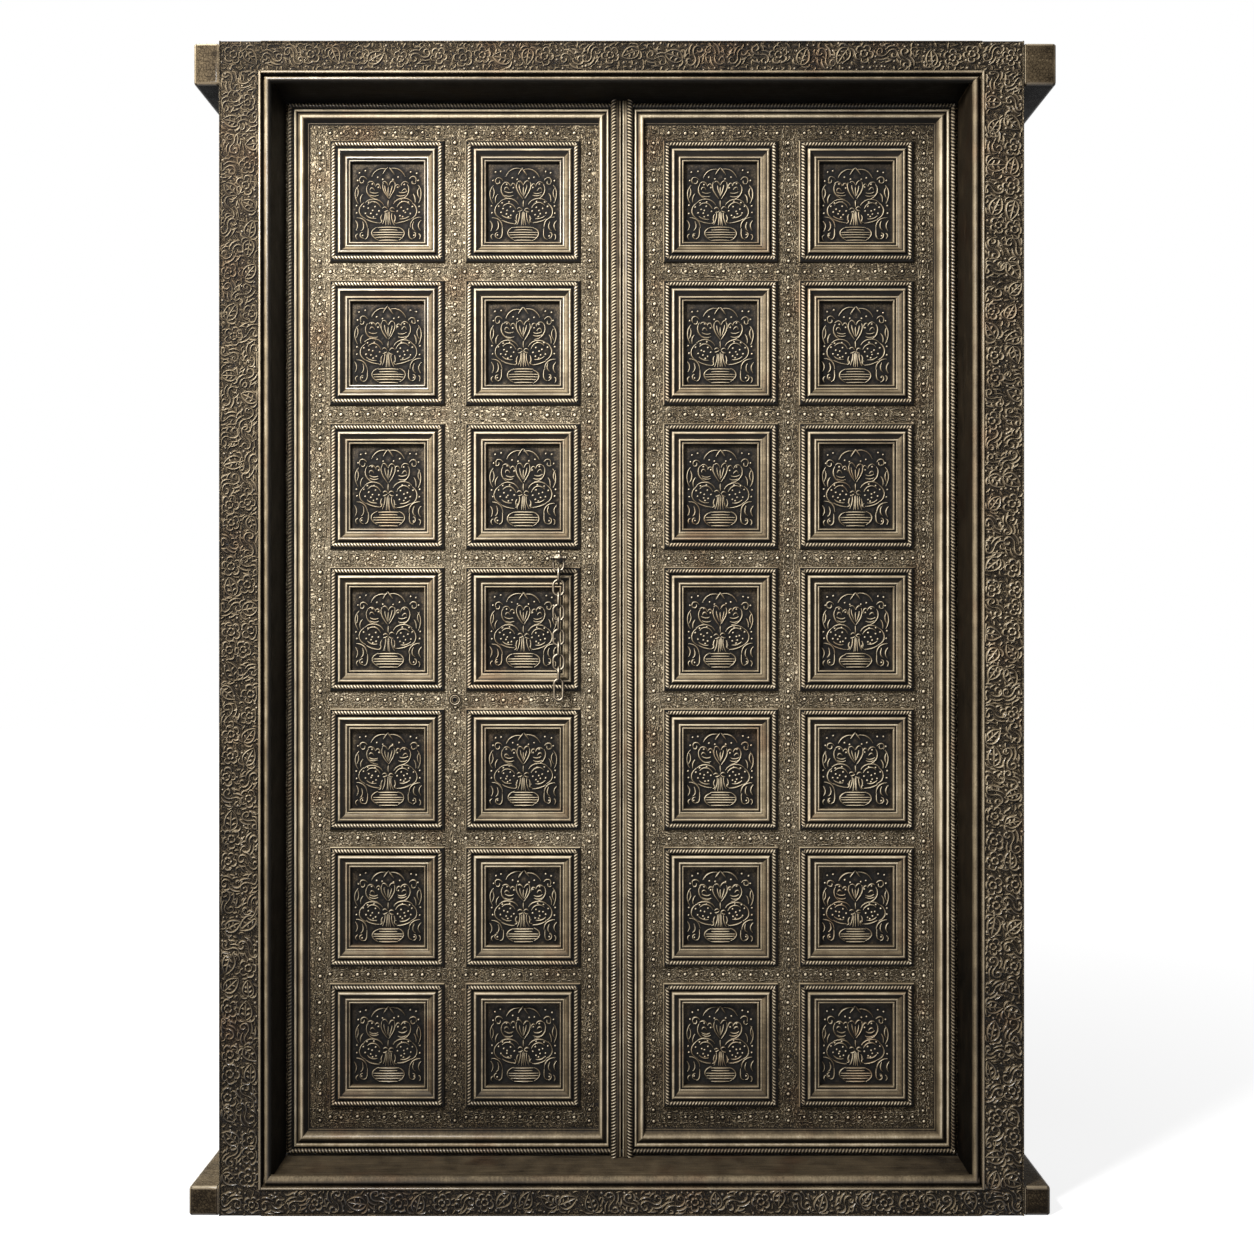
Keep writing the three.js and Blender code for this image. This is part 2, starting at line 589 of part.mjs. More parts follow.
/** The hinge stile, round on its outer edge, with a peg at each end to turn on. */
function pivotStile() {
  const r = LEAF_THICKNESS / 2;
  const outline = new THREE.Shape();
  outline.moveTo(PIVOT.x, LEAF_FRONT);
  outline.lineTo(HINGE_STILE_EDGE, LEAF_FRONT);
  outline.lineTo(HINGE_STILE_EDGE, LEAF_BACK);
  outline.lineTo(PIVOT.x, LEAF_BACK);
  outline.absarc(PIVOT.x, PIVOT.y, r, Math.PI / 2, 1.5 * Math.PI);
  const geometry = new THREE.ExtrudeGeometry(outline, {
    depth: LEAF_TOP - LEAF_BOTTOM, bevelEnabled: false, curveSegments: ROUND_SIDES / 2,
  });
  const stile = withMortices(solid(geometry.translate(0, 0, LEAF_BOTTOM)));
  return stile
    .add(roundBar(PEG_RADIUS, SILL_HEIGHT - PEG_LENGTH, LEAF_BOTTOM + 1, PIVOT.x, PIVOT.y))
    .add(roundBar(PEG_RADIUS, LEAF_TOP - 1, LINTEL_BOTTOM + PEG_LENGTH, PIVOT.x, PIVOT.y));
}

function meetingStile() {
  const tall = [LEAF_BOTTOM, LEAF_TOP];
  return withMortices(box([MEETING_STILE_EDGE, MEETING_EDGE], [LEAF_FRONT, LEAF_BACK], tall));
}

/** The upright between the two columns, halved at the back of each rail. */
function muntin() {
  const across = [MUNTIN_EDGE, MUNTIN_EDGE + MUNTIN_WIDTH];
  let body = box(across, [LEAF_FRONT, LATTICE_BACK], [LEAF_BOTTOM, LEAF_TOP]);
  const half = LEAF_FRONT + LATTICE_THICKNESS / 2;
  for (let number = 1; number <= RAILS; number += 1) {
    const [low, high] = railHeights(number);
    const wide = [across[0] - 1, across[1] + 1];
    body = body.subtract(box(wide, [LEAF_FRONT - 1, half + SEAT], [low - SEAT, high + SEAT]));
  }
  return body;
}

function rail(number) {
  const [low, high] = railHeights(number);
  const across = [HINGE_STILE_EDGE + SEAT, MEETING_STILE_EDGE - SEAT];
  const half = LEAF_FRONT + LATTICE_THICKNESS / 2;
  const lap = [MUNTIN_EDGE - SEAT, MUNTIN_EDGE + MUNTIN_WIDTH + SEAT];
  const body = box(across, [LEAF_FRONT, LATTICE_BACK], [low, high]).add(railTenons(number, 0));
  return body.subtract(box(lap, [half, LATTICE_BACK + 1], [low - 1, high + 1]));
}

/** The boards behind the lattice, with a coffer standing forward in each of its openings. */
function panelBoard() {
  const across = [HINGE_STILE_EDGE + SEAT, MEETING_STILE_EDGE - SEAT];
  let body = box(across, [LATTICE_BACK + SEAT, LEAF_BACK], [LEAF_BOTTOM, LEAF_TOP]);
  COFFER_HEIGHTS.forEach((height, row) => {
    const one = coffer(COFFER_WIDTH, height).translate([0, 0, rowBottom(row) + height / 2]);
    for (const column of [0, 1]) {
      const x = HINGE_STILE_EDGE + COFFER_WIDTH / 2 + column * (COFFER_WIDTH + MUNTIN_WIDTH);
      body = body.add(one.translate([x, 0, 0]));
    }
  });
  return body;
}

/** The four mitred strips of the border moulding, cut short of the astragal, by name. */
function borderStrips() {
  const outer = {
    left: BORDER_HINGE_EDGE, right: BORDER_MEETING_EDGE,
    bottom: LEAF_BOTTOM, top: LEAF_TOP,
  };
  const widths = {
    left: BORDER_HINGE_WIDTH, right: BORDER_MEETING_WIDTH, bottom: BORDER_BOTTOM_WIDTH, top: BORDER_TOP_WIDTH,
  };
  const plane = LEAF_FRONT - SEAT;
  const shift = { left: [0, 0, 0], right: [0, 0, 0], top: [0, 0, SEAT], bottom: [0, 0, -SEAT] };
  const reach = MEETING_EDGE - ASTRAGAL_WIDTH - SEAT;
  const room = box([-HALF_OPENING, reach], [LEAF_FRONT - 2 * BORDER_CREST, LEAF_FRONT], [0, OVERALL_HEIGHT]);
  const strip = (side) => mitredStrip(outer, widths, BORDER_PROFILE, BORDER_CREST, plane, side)
    .translate(shift[side]).intersect(room);
  return { hinge: strip('left'), meeting: strip('right'), top: strip('top'), bottom: strip('bottom') };
}

/** The strip that stands proud along the meeting edge. */
function astragal() {
  const outer = {
    left: MEETING_EDGE - ASTRAGAL_WIDTH, right: MEETING_EDGE,
    bottom: LEAF_BOTTOM - RUNNING_GAP / 2, top: LEAF_TOP + RUNNING_GAP / 2,
  };
  const widths = { left: ASTRAGAL_WIDTH, right: 0, bottom: 0, top: 0 };
  return mitredStrip(outer, widths, ASTRAGAL_PROFILE, ASTRAGAL_CREST, LEAF_FRONT - SEAT, 'left');
}

// ---- ironwork ----

/** The closed centre line of an oval link in the plane x = 0, starting at its top. */
class OvalLoop extends THREE.Curve {
  constructor(length, width) {
    super();
    this.bow = (width - 2 * WIRE_RADIUS) / 2;
    this.straight = length - width;
  }

  getPoint(share, target = new THREE.Vector3()) {
    const arc = Math.PI * this.bow;
    const total = 2 * (arc + this.straight);
    const walked = ((share % 1) + 1) % 1 * total;
    const half = walked > total / 2;
    let s = half ? walked - total / 2 : walked;
    const sign = half ? -1 : 1;
    const top = this.straight / 2;
    let [y, z] = [0, 0];
    if (s < arc / 2) {
      [y, z] = [this.bow * Math.sin(s / this.bow), top + this.bow * Math.cos(s / this.bow)];
    } else if (s < arc / 2 + this.straight) {
      [y, z] = [this.bow, top - (s - arc / 2)];
    } else {
      s -= arc / 2 + this.straight;
      [y, z] = [this.bow * Math.cos(s / this.bow), -top - this.bow * Math.sin(s / this.bow)];
    }
    return target.set(0, sign * y, sign * z);
  }
}

/** A link with its middle at the origin, edge on to the viewer or turned to face the viewer. */
function chainLink({ length, width }, faceOn) {
  const tube = new THREE.TubeGeometry(new OvalLoop(length, width), 16, WIRE_RADIUS, 5, true);
  return solid(orient(faceOn ? tube.rotateZ(Math.PI / 2) : tube));
}

/** A bar along X. */
function crossBar(radius, x0, x1, y, z) {
  const bar = new THREE.CylinderGeometry(radius, radius, x1 - x0, 6).rotateZ(Math.PI / 2);
  return solid(bar.translate((x0 + x1) / 2, y, z));
}

/** A pin along Y. */
function pin(radius, y0, y1, x, z) {
  return solid(new THREE.CylinderGeometry(radius, radius, y1 - y0, 8).translate(x, (y0 + y1) / 2, z));
}

const CHAIN_X = MEETING_EDGE - CHAIN_FROM_MEETING;
const CHAIN_Y = LEAF_FRONT - CHAIN_STAND_OFF;
const STAPLE_Z = total(railHeights(STAPLE_RAIL)) / 2 - STAPLE_DROP;

/** The hole in the rail that the staple's pin is driven into. */
function staplePocket() {
  const radius = (WIRE_RADIUS + SEAT) / Math.cos(Math.PI / 8);
  return pin(radius, LEAF_FRONT - 1, LEAF_FRONT + STAPLE_BITE + SEAT, CHAIN_X, STAPLE_Z);
}

/** A pin driven into the rail, with a knobbed bar across its end that keeps the first link on. */
function staple() {
  const { length, radius, knob, ahead } = STAPLE_BAR;
  const y = CHAIN_Y - ahead;
  const knobs = [[-length / 2, 0], [length / 2, 0], [length / 8, 1.4 * knob]];
  let body = pin(WIRE_RADIUS, y, LEAF_FRONT + STAPLE_BITE, CHAIN_X, STAPLE_Z);
  body = body.add(crossBar(radius, CHAIN_X - length / 2, CHAIN_X + length / 2, y, STAPLE_Z));
  for (const [x, z] of knobs) {
    const ball = new THREE.SphereGeometry(knob, 6, 4).translate(CHAIN_X + x, y, STAPLE_Z + z);
    body = body.add(solid(ball));
  }
  return body;
}

/** Each link hangs on the wire of the one above; the first hangs on the staple's pin. */
function addChain() {
  let hook = STAPLE_Z;
  for (let number = 1; number <= LINK_COUNT; number += 1) {
    const size = number === LINK_COUNT ? END_LINK : LINK;
    const top = hook + 3 * WIRE_RADIUS + SEAT;
    const link = chainLink(size, number % 2 === 1);
    add(`chain_link_${number}`, link.translate([CHAIN_X, CHAIN_Y, top - size.length / 2]), IRON);
    hook = top - size.length + WIRE_RADIUS;
  }
}

const EYELET_X = MUNTIN_EDGE + MUNTIN_WIDTH / 2;
const EYELET_Z = total(railHeights(EYELET_RAIL)) / 2;

/** A ring boss round the keyhole, seated on the rail. */
function eyelet() {
  const { outer, hole, height } = EYELET;
  const section = [
    [hole, 0], [outer, 0], [outer, height * 0.4], [outer - 2, height * 0.85], [hole + 2, height],
    [hole, height * 0.7], [hole, 0],
  ].map(([r, z]) => new THREE.Vector2(r, z));
  const ring = new THREE.LatheGeometry(section, 12);
  return solid(orient(ring.rotateX(Math.PI).translate(EYELET_X, LEAF_FRONT - SEAT, EYELET_Z)));
}

function keyhole() {
  const bore = new THREE.CylinderGeometry(EYELET.hole, EYELET.hole, 2 * KEYHOLE_DEPTH, 12);
  return solid(bore.translate(EYELET_X, LEAF_FRONT, EYELET_Z));
}

// ---- assembly ----

/** Adds a leaf's pieces; turn mirrors a piece where the leaf is the right one. */
function addLeaf(hand, turn) {
  const name = (piece) => `${hand}_${piece}`;
  add(name('pivot_stile'), turn(pivotStile()), WOOD);
  add(name('meeting_stile'), turn(meetingStile()), WOOD);
  add(name('muntin'), turn(muntin()), WOOD);
  for (let number = 1; number <= RAILS; number += 1) {
    let body = rail(number);
    if (hand === 'left' && number === STAPLE_RAIL) {
      body = body.subtract(staplePocket());
    }
    if (hand === 'left' && number === EYELET_RAIL) {
      body = body.subtract(keyhole());
    }
    add(name(`rail_${number}`), turn(body), WOOD);
  }
  add(name('panel_board'), turn(panelBoard()), WORN_WOOD);
  for (const [side, strip] of Object.entries(borderStrips())) {
    add(name(`border_${side}`), turn(strip), WORN_WOOD);
  }
  add(name('astragal'), turn(astragal()), WORN_WOOD);
}

addBeams();
addPosts();
addTread();
addBeads();
addSideFacings();
addCrossFacings();
addLeaf('left', (body) => body);
addLeaf('right', mirrored);
add('chain_staple', staple(), IRON);
addChain();
add('lock_eyelet', eyelet(), IRON);

export default door;
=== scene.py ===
"""A carved double door in its frame: its mouldings, carving, ironwork and finishes.

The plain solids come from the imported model, and the pieces made here stand on them. Lengths are metres.
"""
import math

import bpy
import numpy as np
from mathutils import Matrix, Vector


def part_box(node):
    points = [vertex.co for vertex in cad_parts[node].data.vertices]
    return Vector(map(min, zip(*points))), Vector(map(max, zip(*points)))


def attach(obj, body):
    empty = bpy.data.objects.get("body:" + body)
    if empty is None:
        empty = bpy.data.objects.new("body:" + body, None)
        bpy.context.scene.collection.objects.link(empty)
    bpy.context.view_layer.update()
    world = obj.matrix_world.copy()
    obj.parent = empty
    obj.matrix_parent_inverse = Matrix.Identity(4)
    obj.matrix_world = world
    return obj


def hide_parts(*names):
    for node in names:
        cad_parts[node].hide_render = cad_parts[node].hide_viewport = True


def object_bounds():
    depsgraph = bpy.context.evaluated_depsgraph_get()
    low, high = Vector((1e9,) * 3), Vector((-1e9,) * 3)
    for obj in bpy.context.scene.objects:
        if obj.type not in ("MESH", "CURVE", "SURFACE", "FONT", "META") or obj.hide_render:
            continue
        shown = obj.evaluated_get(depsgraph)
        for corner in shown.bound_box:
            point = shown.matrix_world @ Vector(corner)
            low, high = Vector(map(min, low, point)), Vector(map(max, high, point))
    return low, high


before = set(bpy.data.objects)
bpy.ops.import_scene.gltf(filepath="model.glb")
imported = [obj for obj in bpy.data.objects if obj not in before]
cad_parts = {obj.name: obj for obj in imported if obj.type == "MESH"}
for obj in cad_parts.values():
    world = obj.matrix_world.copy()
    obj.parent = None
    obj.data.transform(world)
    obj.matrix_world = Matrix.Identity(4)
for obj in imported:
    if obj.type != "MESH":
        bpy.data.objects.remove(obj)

MM = 0.001
scene = bpy.context.scene
solid_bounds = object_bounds()


def span(node, axis):
    """A node's lowest and highest place along an axis."""
    low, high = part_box(node)
    return low[axis], high[axis]


# ---- camera ----

CAMERA_X = 0.011
EYE_HEIGHT = 1.203
CAMERA_DISTANCE = 3.0     # before the facings


def make_camera():
    """A level camera that looks straight at the door's front."""
    data = bpy.data.cameras.new("camera")
    data.sensor_width = 36
    data.lens = 42.2
    data.clip_end = 60
    camera = bpy.data.objects.new("camera", data)
    low = solid_bounds[0]
    camera.location = (CAMERA_X, low.y - CAMERA_DISTANCE, low.z + EYE_HEIGHT)
    camera.rotation_euler = (math.radians(90), 0, 0)
    scene.collection.objects.link(camera)
    scene.camera = camera


# ---- finishes ----

def tone(red, green, blue):
    """A colour as it looks, 0 to 255, turned into the linear colour that a shader takes."""
    shares = np.array([red, green, blue]) / 255
    linear = np.where(shares < 0.04, shares / 12.92, ((shares + 0.055) / 1.055) ** 2.4)
    return (*map(float, linear), 1.0)


class Value:
    """A socket of a node tree. Arithmetic on it adds Math nodes."""

    def __init__(self, nodes, socket):
        self.nodes, self.socket = nodes, socket

    def math(self, operation, first, second):
        """The socket of a new Math node on two values."""
        return self.nodes.node("Math", {"operation": operation}, {0: first, 1: second})

    def __add__(self, other):
        return self.math("ADD", self, other)

    def __sub__(self, other):
        return self.math("SUBTRACT", self, other)

    def __rsub__(self, other):
        return self.math("SUBTRACT", other, self)

    def __mul__(self, other):
        return self.math("MULTIPLY", self, other)

    __radd__, __rmul__ = __add__, __mul__

    def larger(self, other):
        """The larger of two values."""
        return self.math("MAXIMUM", self, other)

    def between(self, low, high):
        """0 at low and 1 at high, held at both ends."""
        values = {"Value": self, "From Min": low, "From Max": high}
        return self.nodes.node("MapRange", {"clamp": True}, values)


class Nodes:
    """The node tree of a material or the world."""

    def __init__(self, tree):
        self.tree = tree

    def node(self, kind, settings, values, output=0):
        """A node of that kind: its settings first, then its sockets' values or links."""
        made = self.tree.nodes.new("ShaderNode" + kind)
        for name, setting in settings.items():
            if name == "stops":
                self._stops(made.color_ramp, setting)
            else:
                setattr(made, name, setting)
        for name, value in values.items():
            self.feed(made.inputs[name], value)
        return Value(self, made.outputs[output])

    def _stops(self, ramp, stops):
        """Gives a colour ramp those (position, colour) stops."""
        while len(ramp.elements) < len(stops):
            ramp.elements.new(1)
        for element, (position, colour) in zip(ramp.elements, stops):
            element.position, element.color = position, colour

    def feed(self, socket, value):
        """Links a socket to a value, or sets it to a constant."""
        if isinstance(value, Value):
            self.tree.links.new(value.socket, socket)
        else:
            socket.default_value = value

    def seen(self, unseen_value, seen_value):
        """One value on rays from the camera, off a mirror or through glass, and another on the rest."""
        path = [self.node("LightPath", {}, {}, output) for output in ("Is Camera Ray", "Is Glossy Ray",
                                                                      "Is Transmission Ray")]
        share = path[0].larger(path[1]).larger(path[2])
        return self.node("Mix", {}, {0: share, 2: unseen_value, 3: seen_value})


class Finish(Nodes):
    """A material: patterns that follow the place on the object, and its shader."""

    def __init__(self, name):
        self.material = bpy.data.materials.new(name)
        self.material.use_nodes = True
        super().__init__(self.material.node_tree)
        self.shader = self.tree.nodes["Principled BSDF"]
        self.place = self.node("TexCoord", {}, {}, "Object")
        self.normal = self.node("NewGeometry", {}, {}, "Normal")

    def noise(self, scale, detail, stretch=(1, 1, 1)):
        """Cloudy noise from 0 to 1, its grain drawn out along the axes of small stretch."""
        place = self.node("Mapping", {}, {"Vector": self.place, "Scale": stretch})
        return self.node("TexNoise", {}, {"Vector": place, "Scale": scale, "Detail": detail})

    def coordinate(self, axis):
        """The place along an axis, 0 to 2 for x, y and z."""
        return self.node("SeparateXYZ", {}, {0: self.place}, axis)

    def crest(self):
        """-1 in a hollow, 0 on a plain face and 1 on a worn crest, as the piece's points carry it."""
        return self.node("Attribute", {"attribute_name": "crest"}, {}, "Fac")

    def faces(self, direction):
        """How far the surface faces that way: its normal's dot product with the direction."""
        return self.node("VectorMath", {"operation": "DOT_PRODUCT"}, {0: self.normal, 1: direction}, "Value")

    def ramp(self, stops, value):
        """The colour at a value among (position, colour) stops."""
        return self.node("ValToRGB", {"stops": stops}, {"Fac": value})

    def bump(self, height, depth):
        """A normal that follows a height, which is worth depth in metres."""
        return self.node("Bump", {}, {"Height": height, "Distance": depth, "Strength": 1.0})

    def finish(self, **sockets):
        """Feeds the shader's sockets by name; the material is then ready."""
        for name, value in sockets.items():
            self.feed(self.shader.inputs[name.replace("_", " ")], value)
        return self.material


WOOD_TONES = [
    (0.0, tone(9, 7, 5)), (0.25, tone(36, 29, 20)), (0.5, tone(85, 73, 55)),
    (0.75, tone(146, 130, 103)), (1.0, tone(230, 214, 184)),
]
IRON_TONES = [
    (0.0, tone(16, 13, 10)), (0.45, tone(66, 55, 43)), (0.8, tone(150, 136, 114)), (1.0, tone(214, 202, 178)),
]
REDDISH = tone(150, 96, 78)
REVEAL_X = (0.724, 0.738)          # painted shade in the reveal ends between these distances from the middle,
REVEAL_HEAD = (2.318, 2.332)       # between these heights at the top
REVEAL_SILL = (0.06, 0.064)        # and between these at the bottom


def painted_falloff(f, foot, shade, corner):
    """How much darker the tone is painted as the key light falls off and the head's shadow falls: foot
    towards the floor, shade towards the upper right and under the head, and corner at the lower right."""
    x, z = f.coordinate(0), f.coordinate(2)
    darker = (2 - z.between(0.02, 0.55) - z.between(0.05, 1.1)) * foot
    if shade:
        darker = darker + (x.between(-0.3, 0.6) * z.between(0.5, 1.6) + z.between(2.18, 2.3)) * shade
    if corner:
        darker = darker + x.between(0.1, 0.8) * (1 - z.between(0.1, 0.4)) * corner
    return darker


def in_the_reveal(f):
    """1 on what lies inside the opening and 0 round it."""
    aside = f.node("Math", {"operation": "ABSOLUTE"}, {0: f.coordinate(0)})
    z = f.coordinate(2)
    return (1 - aside.between(*REVEAL_X)) * (1 - z.between(*REVEAL_HEAD)) * z.between(*REVEAL_SILL)


def punched_ground(f):
    """A ground punched with dots, 1 - the distance to a cell's middle, and scored along the cells' edges."""
    cells = f.node("TexVoronoi", {"feature": "F1"}, {"Vector": f.place, "Scale": 330.0})
    lines = f.node("TexVoronoi", {"feature": "DISTANCE_TO_EDGE"}, {"Vector": f.place, "Scale": 150.0})
    return (1 - cells) * 0.8 + lines.between(0.0, 0.2) * 0.6


def engraved_waves(f):
    """Thin engraved lines on a front: the sine of slow noise, whose level lines wander side by side."""
    waves = f.node("Math", {"operation": "SINE"}, {0: f.noise(62, 1) * 84})
    return waves * f.faces((0, -1, 0)).between(0.2, 0.5)


def patina(name, along, base, patches=0.3, ground=0.0, waves=0.0, grain=0.6, wear=0.5, reveal_shade=0.0,
           under=0.0, lean=0.0, shade=0.0, foot=0.1, corner=0.0):
    """Old oiled teak, its grain along X or Z. Its tone is base, more by wear on crests and less in hollows,
    by lean lighter where it faces up and left, a painted light from the upper left, and darker by under
    on undersides and by soot in the reveal, both painted shade; foot, shade and corner paint the fall-off
    of the key light. The rest are the strengths of clouds of patina, a punched ground, engraved waves and
    grain."""
    f = Finish(name)
    crest = f.crest()
    clouds, blots, specks = f.noise(3.1, 3), f.noise(26, 4), f.noise(420, 3)
    fibres = f.noise(210, 4, tuple(0.06 if axis == along else 1.0 for axis in "XYZ"))
    level = base + crest * wear + (clouds - 0.5) * patches + (blots - 0.5) * 0.35
    # the last term is the key light's painted fall-off and the head's painted shadow
    level = level + (specks - 0.5) * 0.22 + (fibres - 0.5) * 0.5 * grain - painted_falloff(f, foot, shade, corner)
    height = fibres * 0.5 * grain + specks * 0.25
    plain = 1 - crest.between(0.1, 0.5)
    if ground:
        punched = punched_ground(f) * plain
        level = level + (punched - 0.85 * plain) * 0.9 * ground
        height = height + punched * 1.5 * ground
    if waves:
        engraved = engraved_waves(f) * plain
        level = level + engraved * 0.2 * waves
        height = height + engraved * 0.9 * waves
    # painted shade: what lies inside the reveal of the opening is made darker
    if reveal_shade:
        level = level - in_the_reveal(f) * reveal_shade
    # painted light from the upper left: faces that look up and to the left are made lighter, those turned
    # away darker
    if lean:
        level = level + f.faces((-0.7, 0, 0.7)) * lean
    # painted shade: faces that look down are made darker
    if under:
        level = level - (1 - f.faces((0, 0, 1)).between(-0.9, -0.2)) * under
    colour = f.ramp(WOOD_TONES, level)
    redder = f.noise(9, 2).between(0.56, 0.72) * 0.35
    soft_light = {"data_type": "RGBA", "blend_type": "SOFT_LIGHT"}
    colour = f.node("Mix", soft_light, {0: redder, 6: colour, 7: REDDISH}, 2)
    return f.finish(Base_Color=colour, Roughness=0.62 + (blots - 0.5) * 0.3 - crest * 0.2,
                    Normal=f.bump(height, 1.4 * MM), Specular_IOR_Level=0.05 if under or reveal_shade else 0.2,
                    Coat_Weight=crest.between(0.1, 0.9) * 0.8, Coat_Roughness=0.24)


def forged_iron():
    """Hand-forged iron: dark in its hollows, with a painted highlight on faces turned out, left and up
    towards the key lamp and painted shade on the sides turned away, varied by clouds and pits.
    """
    f = Finish("forged_iron")
    clouds, pits, crest = f.noise(60, 3), f.noise(700, 3), f.crest()
    # painted highlight and shade: faces turned towards the key lamp are lighter, those turned away darker
    worn = f.faces((-0.35, -0.82, 0.45)).between(0.5, 0.98) * (clouds * 0.7 + 0.65) + (pits - 0.5) * 0.2
    worn = worn * crest.between(-1.0, -0.1) + crest.between(0.1, 1) * 0.3
    return f.finish(Base_Color=f.ramp(IRON_TONES, worn), Metallic=0.2, Roughness=0.5 - worn * 0.2,
                    Specular_IOR_Level=0.3, Normal=f.bump(pits + clouds, 0.6 * MM))


WOODS = {
    "timber_upright": dict(along="Z", base=0.40, reveal_shade=0.42, lean=0.28),
    "timber_level": dict(along="X", base=0.38, reveal_shade=0.34, wear=0.3, under=0.3),
    "horn": dict(along="X", base=0.33, wear=0.4, under=0.3, patches=0.7, ground=0.25, lean=0.35, foot=0.03,
                 corner=0.13),
    "tread": dict(along="X", base=0.44, foot=0.02, corner=0.12),
    "bead": dict(along="Z", base=0.38, wear=0.4, lean=0.6, foot=0.03),
    "carving": dict(along="Z", base=0.45, grain=0.2, wear=0.44, lean=0.5, shade=0.08),
    "facing": dict(along="Z", base=0.40, ground=0.3, waves=1.3, grain=0.2, wear=0.4, lean=0.3, foot=0.06),
    "facing_carving": dict(along="Z", base=0.39, grain=0.2, wear=0.13, lean=0.5, foot=0.09),
    "band": dict(along="Z", base=0.68, ground=0.3, waves=1.2, grain=0.3, wear=0.30, lean=0.4, shade=0.14,
                 foot=0.17),
    "panel": dict(along="Z", base=0.36, ground=0.25, grain=0.3, wear=0.38, shade=0.1, foot=0.14),
    "rope": dict(along="Z", base=0.49, grain=0.3, wear=0.52, lean=0.3, shade=0.06),
    "border_rope": dict(along="Z", base=0.36, grain=0.3, wear=0.45, lean=0.4, shade=0.06),
    "moulding_upright": dict(along="Z", base=0.44, wear=0.48, lean=0.5, shade=0.06, foot=0.08),
    "moulding_level": dict(along="X", base=0.43, wear=0.48, lean=0.5, shade=0.06, foot=0.085),
    "rubbed_iron": dict(along="Z", base=0.4, grain=0.1, wear=0.55, lean=0.4, foot=0),
}
FINISHES = {name: patina(name, **values) for name, values in WOODS.items()}
FINISHES["iron"] = forged_iron()


# ---- surfaces ----

class Shape:
    """Grids gathered into one mesh. crest is -1 in a hollow, 0 on a plain face, 1 on a worn crest."""

    def __init__(self):
        self.points, self.faces, self.crests, self.seams, self.size = [], [], [], [], 0

    def add(self, points, faces, crest, seam=0):
        """Points, and four-sided faces between them. An edge between points of one seam above 0 is sharp."""
        self.points.append(points.reshape(-1, 3))
        self.faces.append(faces + self.size)
        self.crests.append(np.broadcast_to(crest, points.shape[:-1]).reshape(-1))
        self.seams.append(np.broadcast_to(seam, points.shape[:-1]).reshape(-1))
        self.size += points.size // 3

    def grid(self, points, crest, round_rows=False, round_columns=False, seam=0):
        """Faces between the rows and columns of points[..., row, column, xyz]."""
        rows, columns = points.shape[-3:-1]
        copies = points.size // (3 * rows * columns)
        self.add(points, grid_faces(rows, columns, round_rows, round_columns, copies), crest, seam)

    def piece(self, name, body, finish, slot, replaced=(), sharp=38, mirror=False):
        """The mesh as a piece that rides on a body. Edges past the angle sharp stay sharp, and mirror turns
        left into right."""
        points = np.concatenate(self.points)
        faces = np.concatenate(self.faces)
        if mirror:
            points = points * (-1, 1, 1)
            faces = faces[:, ::-1]
        mesh = bpy.data.meshes.new(name)
        mesh.vertices.add(len(points))
        mesh.vertices.foreach_set("co", points.astype(np.float32).ravel())
        mesh.loops.add(faces.size)
        mesh.loops.foreach_set("vertex_index", faces.astype(np.int32).ravel())
        mesh.polygons.add(len(faces))
        mesh.polygons.foreach_set("loop_start", np.arange(0, faces.size, 4, dtype=np.int32))
        mesh.update(calc_edges=True)
        mesh.validate()
        mesh.attributes.new("crest", "FLOAT", "POINT").data.foreach_set(
            "value", np.concatenate(self.crests).astype(np.float32))
        self._sharpen(mesh, np.concatenate(self.seams), sharp)
        mesh.materials.append(FINISHES[finish])
        made = bpy.data.objects.new(name, mesh)
        scene.collection.objects.link(made)
        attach(made, body)
        if replaced:
            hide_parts(*replaced)

    def _sharpen(self, mesh, seams, angle):
        """Smooth faces, but for edges past that angle and edges that run along one seam."""
        mesh.polygons.foreach_set("use_smooth", np.ones(len(mesh.polygons), bool))
        mesh.set_sharp_from_angle(angle=math.radians(angle))
        ends = np.zeros(2 * len(mesh.edges), np.int32)
        mesh.edges.foreach_get("vertices", ends)
        first, second = seams[ends[0::2]], seams[ends[1::2]]
        sharp = np.zeros(len(mesh.edges), bool)
        mesh.edges.foreach_get("use_edge_sharp", sharp)
        mesh.edges.foreach_set("use_edge_sharp", sharp | ((first == second) & (first > 0)))
        mesh.update()


def grid_faces(rows, columns, round_rows=False, round_columns=False, copies=1):
    """Corners of every square between neighbouring rows and columns, for each copy of the grid."""
    i = np.arange(rows if round_rows else rows - 1)[:, None]
    j = np.arange(columns if round_columns else columns - 1)[None, :]
    below, beside = (i + 1) % rows, (j + 1) % columns
    square = np.stack([i * columns + j, i * columns + beside,
                       below * columns + beside, below * columns + j], -1).reshape(-1, 4)
    starts = np.arange(copies)[:, None, None] * rows * columns
    return (square[None] + starts).reshape(-1, 4)


def onto_face(plan, rise, face):
    """Points of a plan of x and z that stand rise before the upright plane y = face."""
    plan, rise = np.broadcast_arrays(plan, np.asarray(rise)[..., None])
    return np.stack([plan[..., 0], face - rise[..., 0], plan[..., 1]], -1)


def curves(controls, steps):
    """Cubic curves: for t from 0 to 1, (1-t)^3 a + 3 t (1-t)^2 b + 3 t^2 (1-t) c + t^3 d."""
    controls = np.asarray(controls, float)
    t = np.linspace(0, 1, steps)
    weights = np.stack([(1 - t) ** 3, 3 * t * (1 - t) ** 2, 3 * t ** 2 * (1 - t), t ** 3], -1)
    return np.einsum("tk,mkc->mtc", weights, controls)


def spirals(centres, radii, turns, starts, hands, steps):
    """Curls: the radius shrinks evenly to a fifth as the angle goes through those turns."""
    t = np.linspace(0, 1, steps)
    angle = starts[:, None] + hands[:, None] * turns * 2 * math.pi * t
    radius = radii[:, None] * (1 - 0.8 * t)
    ring = np.stack([np.cos(angle), np.sin(angle)], -1) * radius[..., None]
    return centres[:, None] + ring


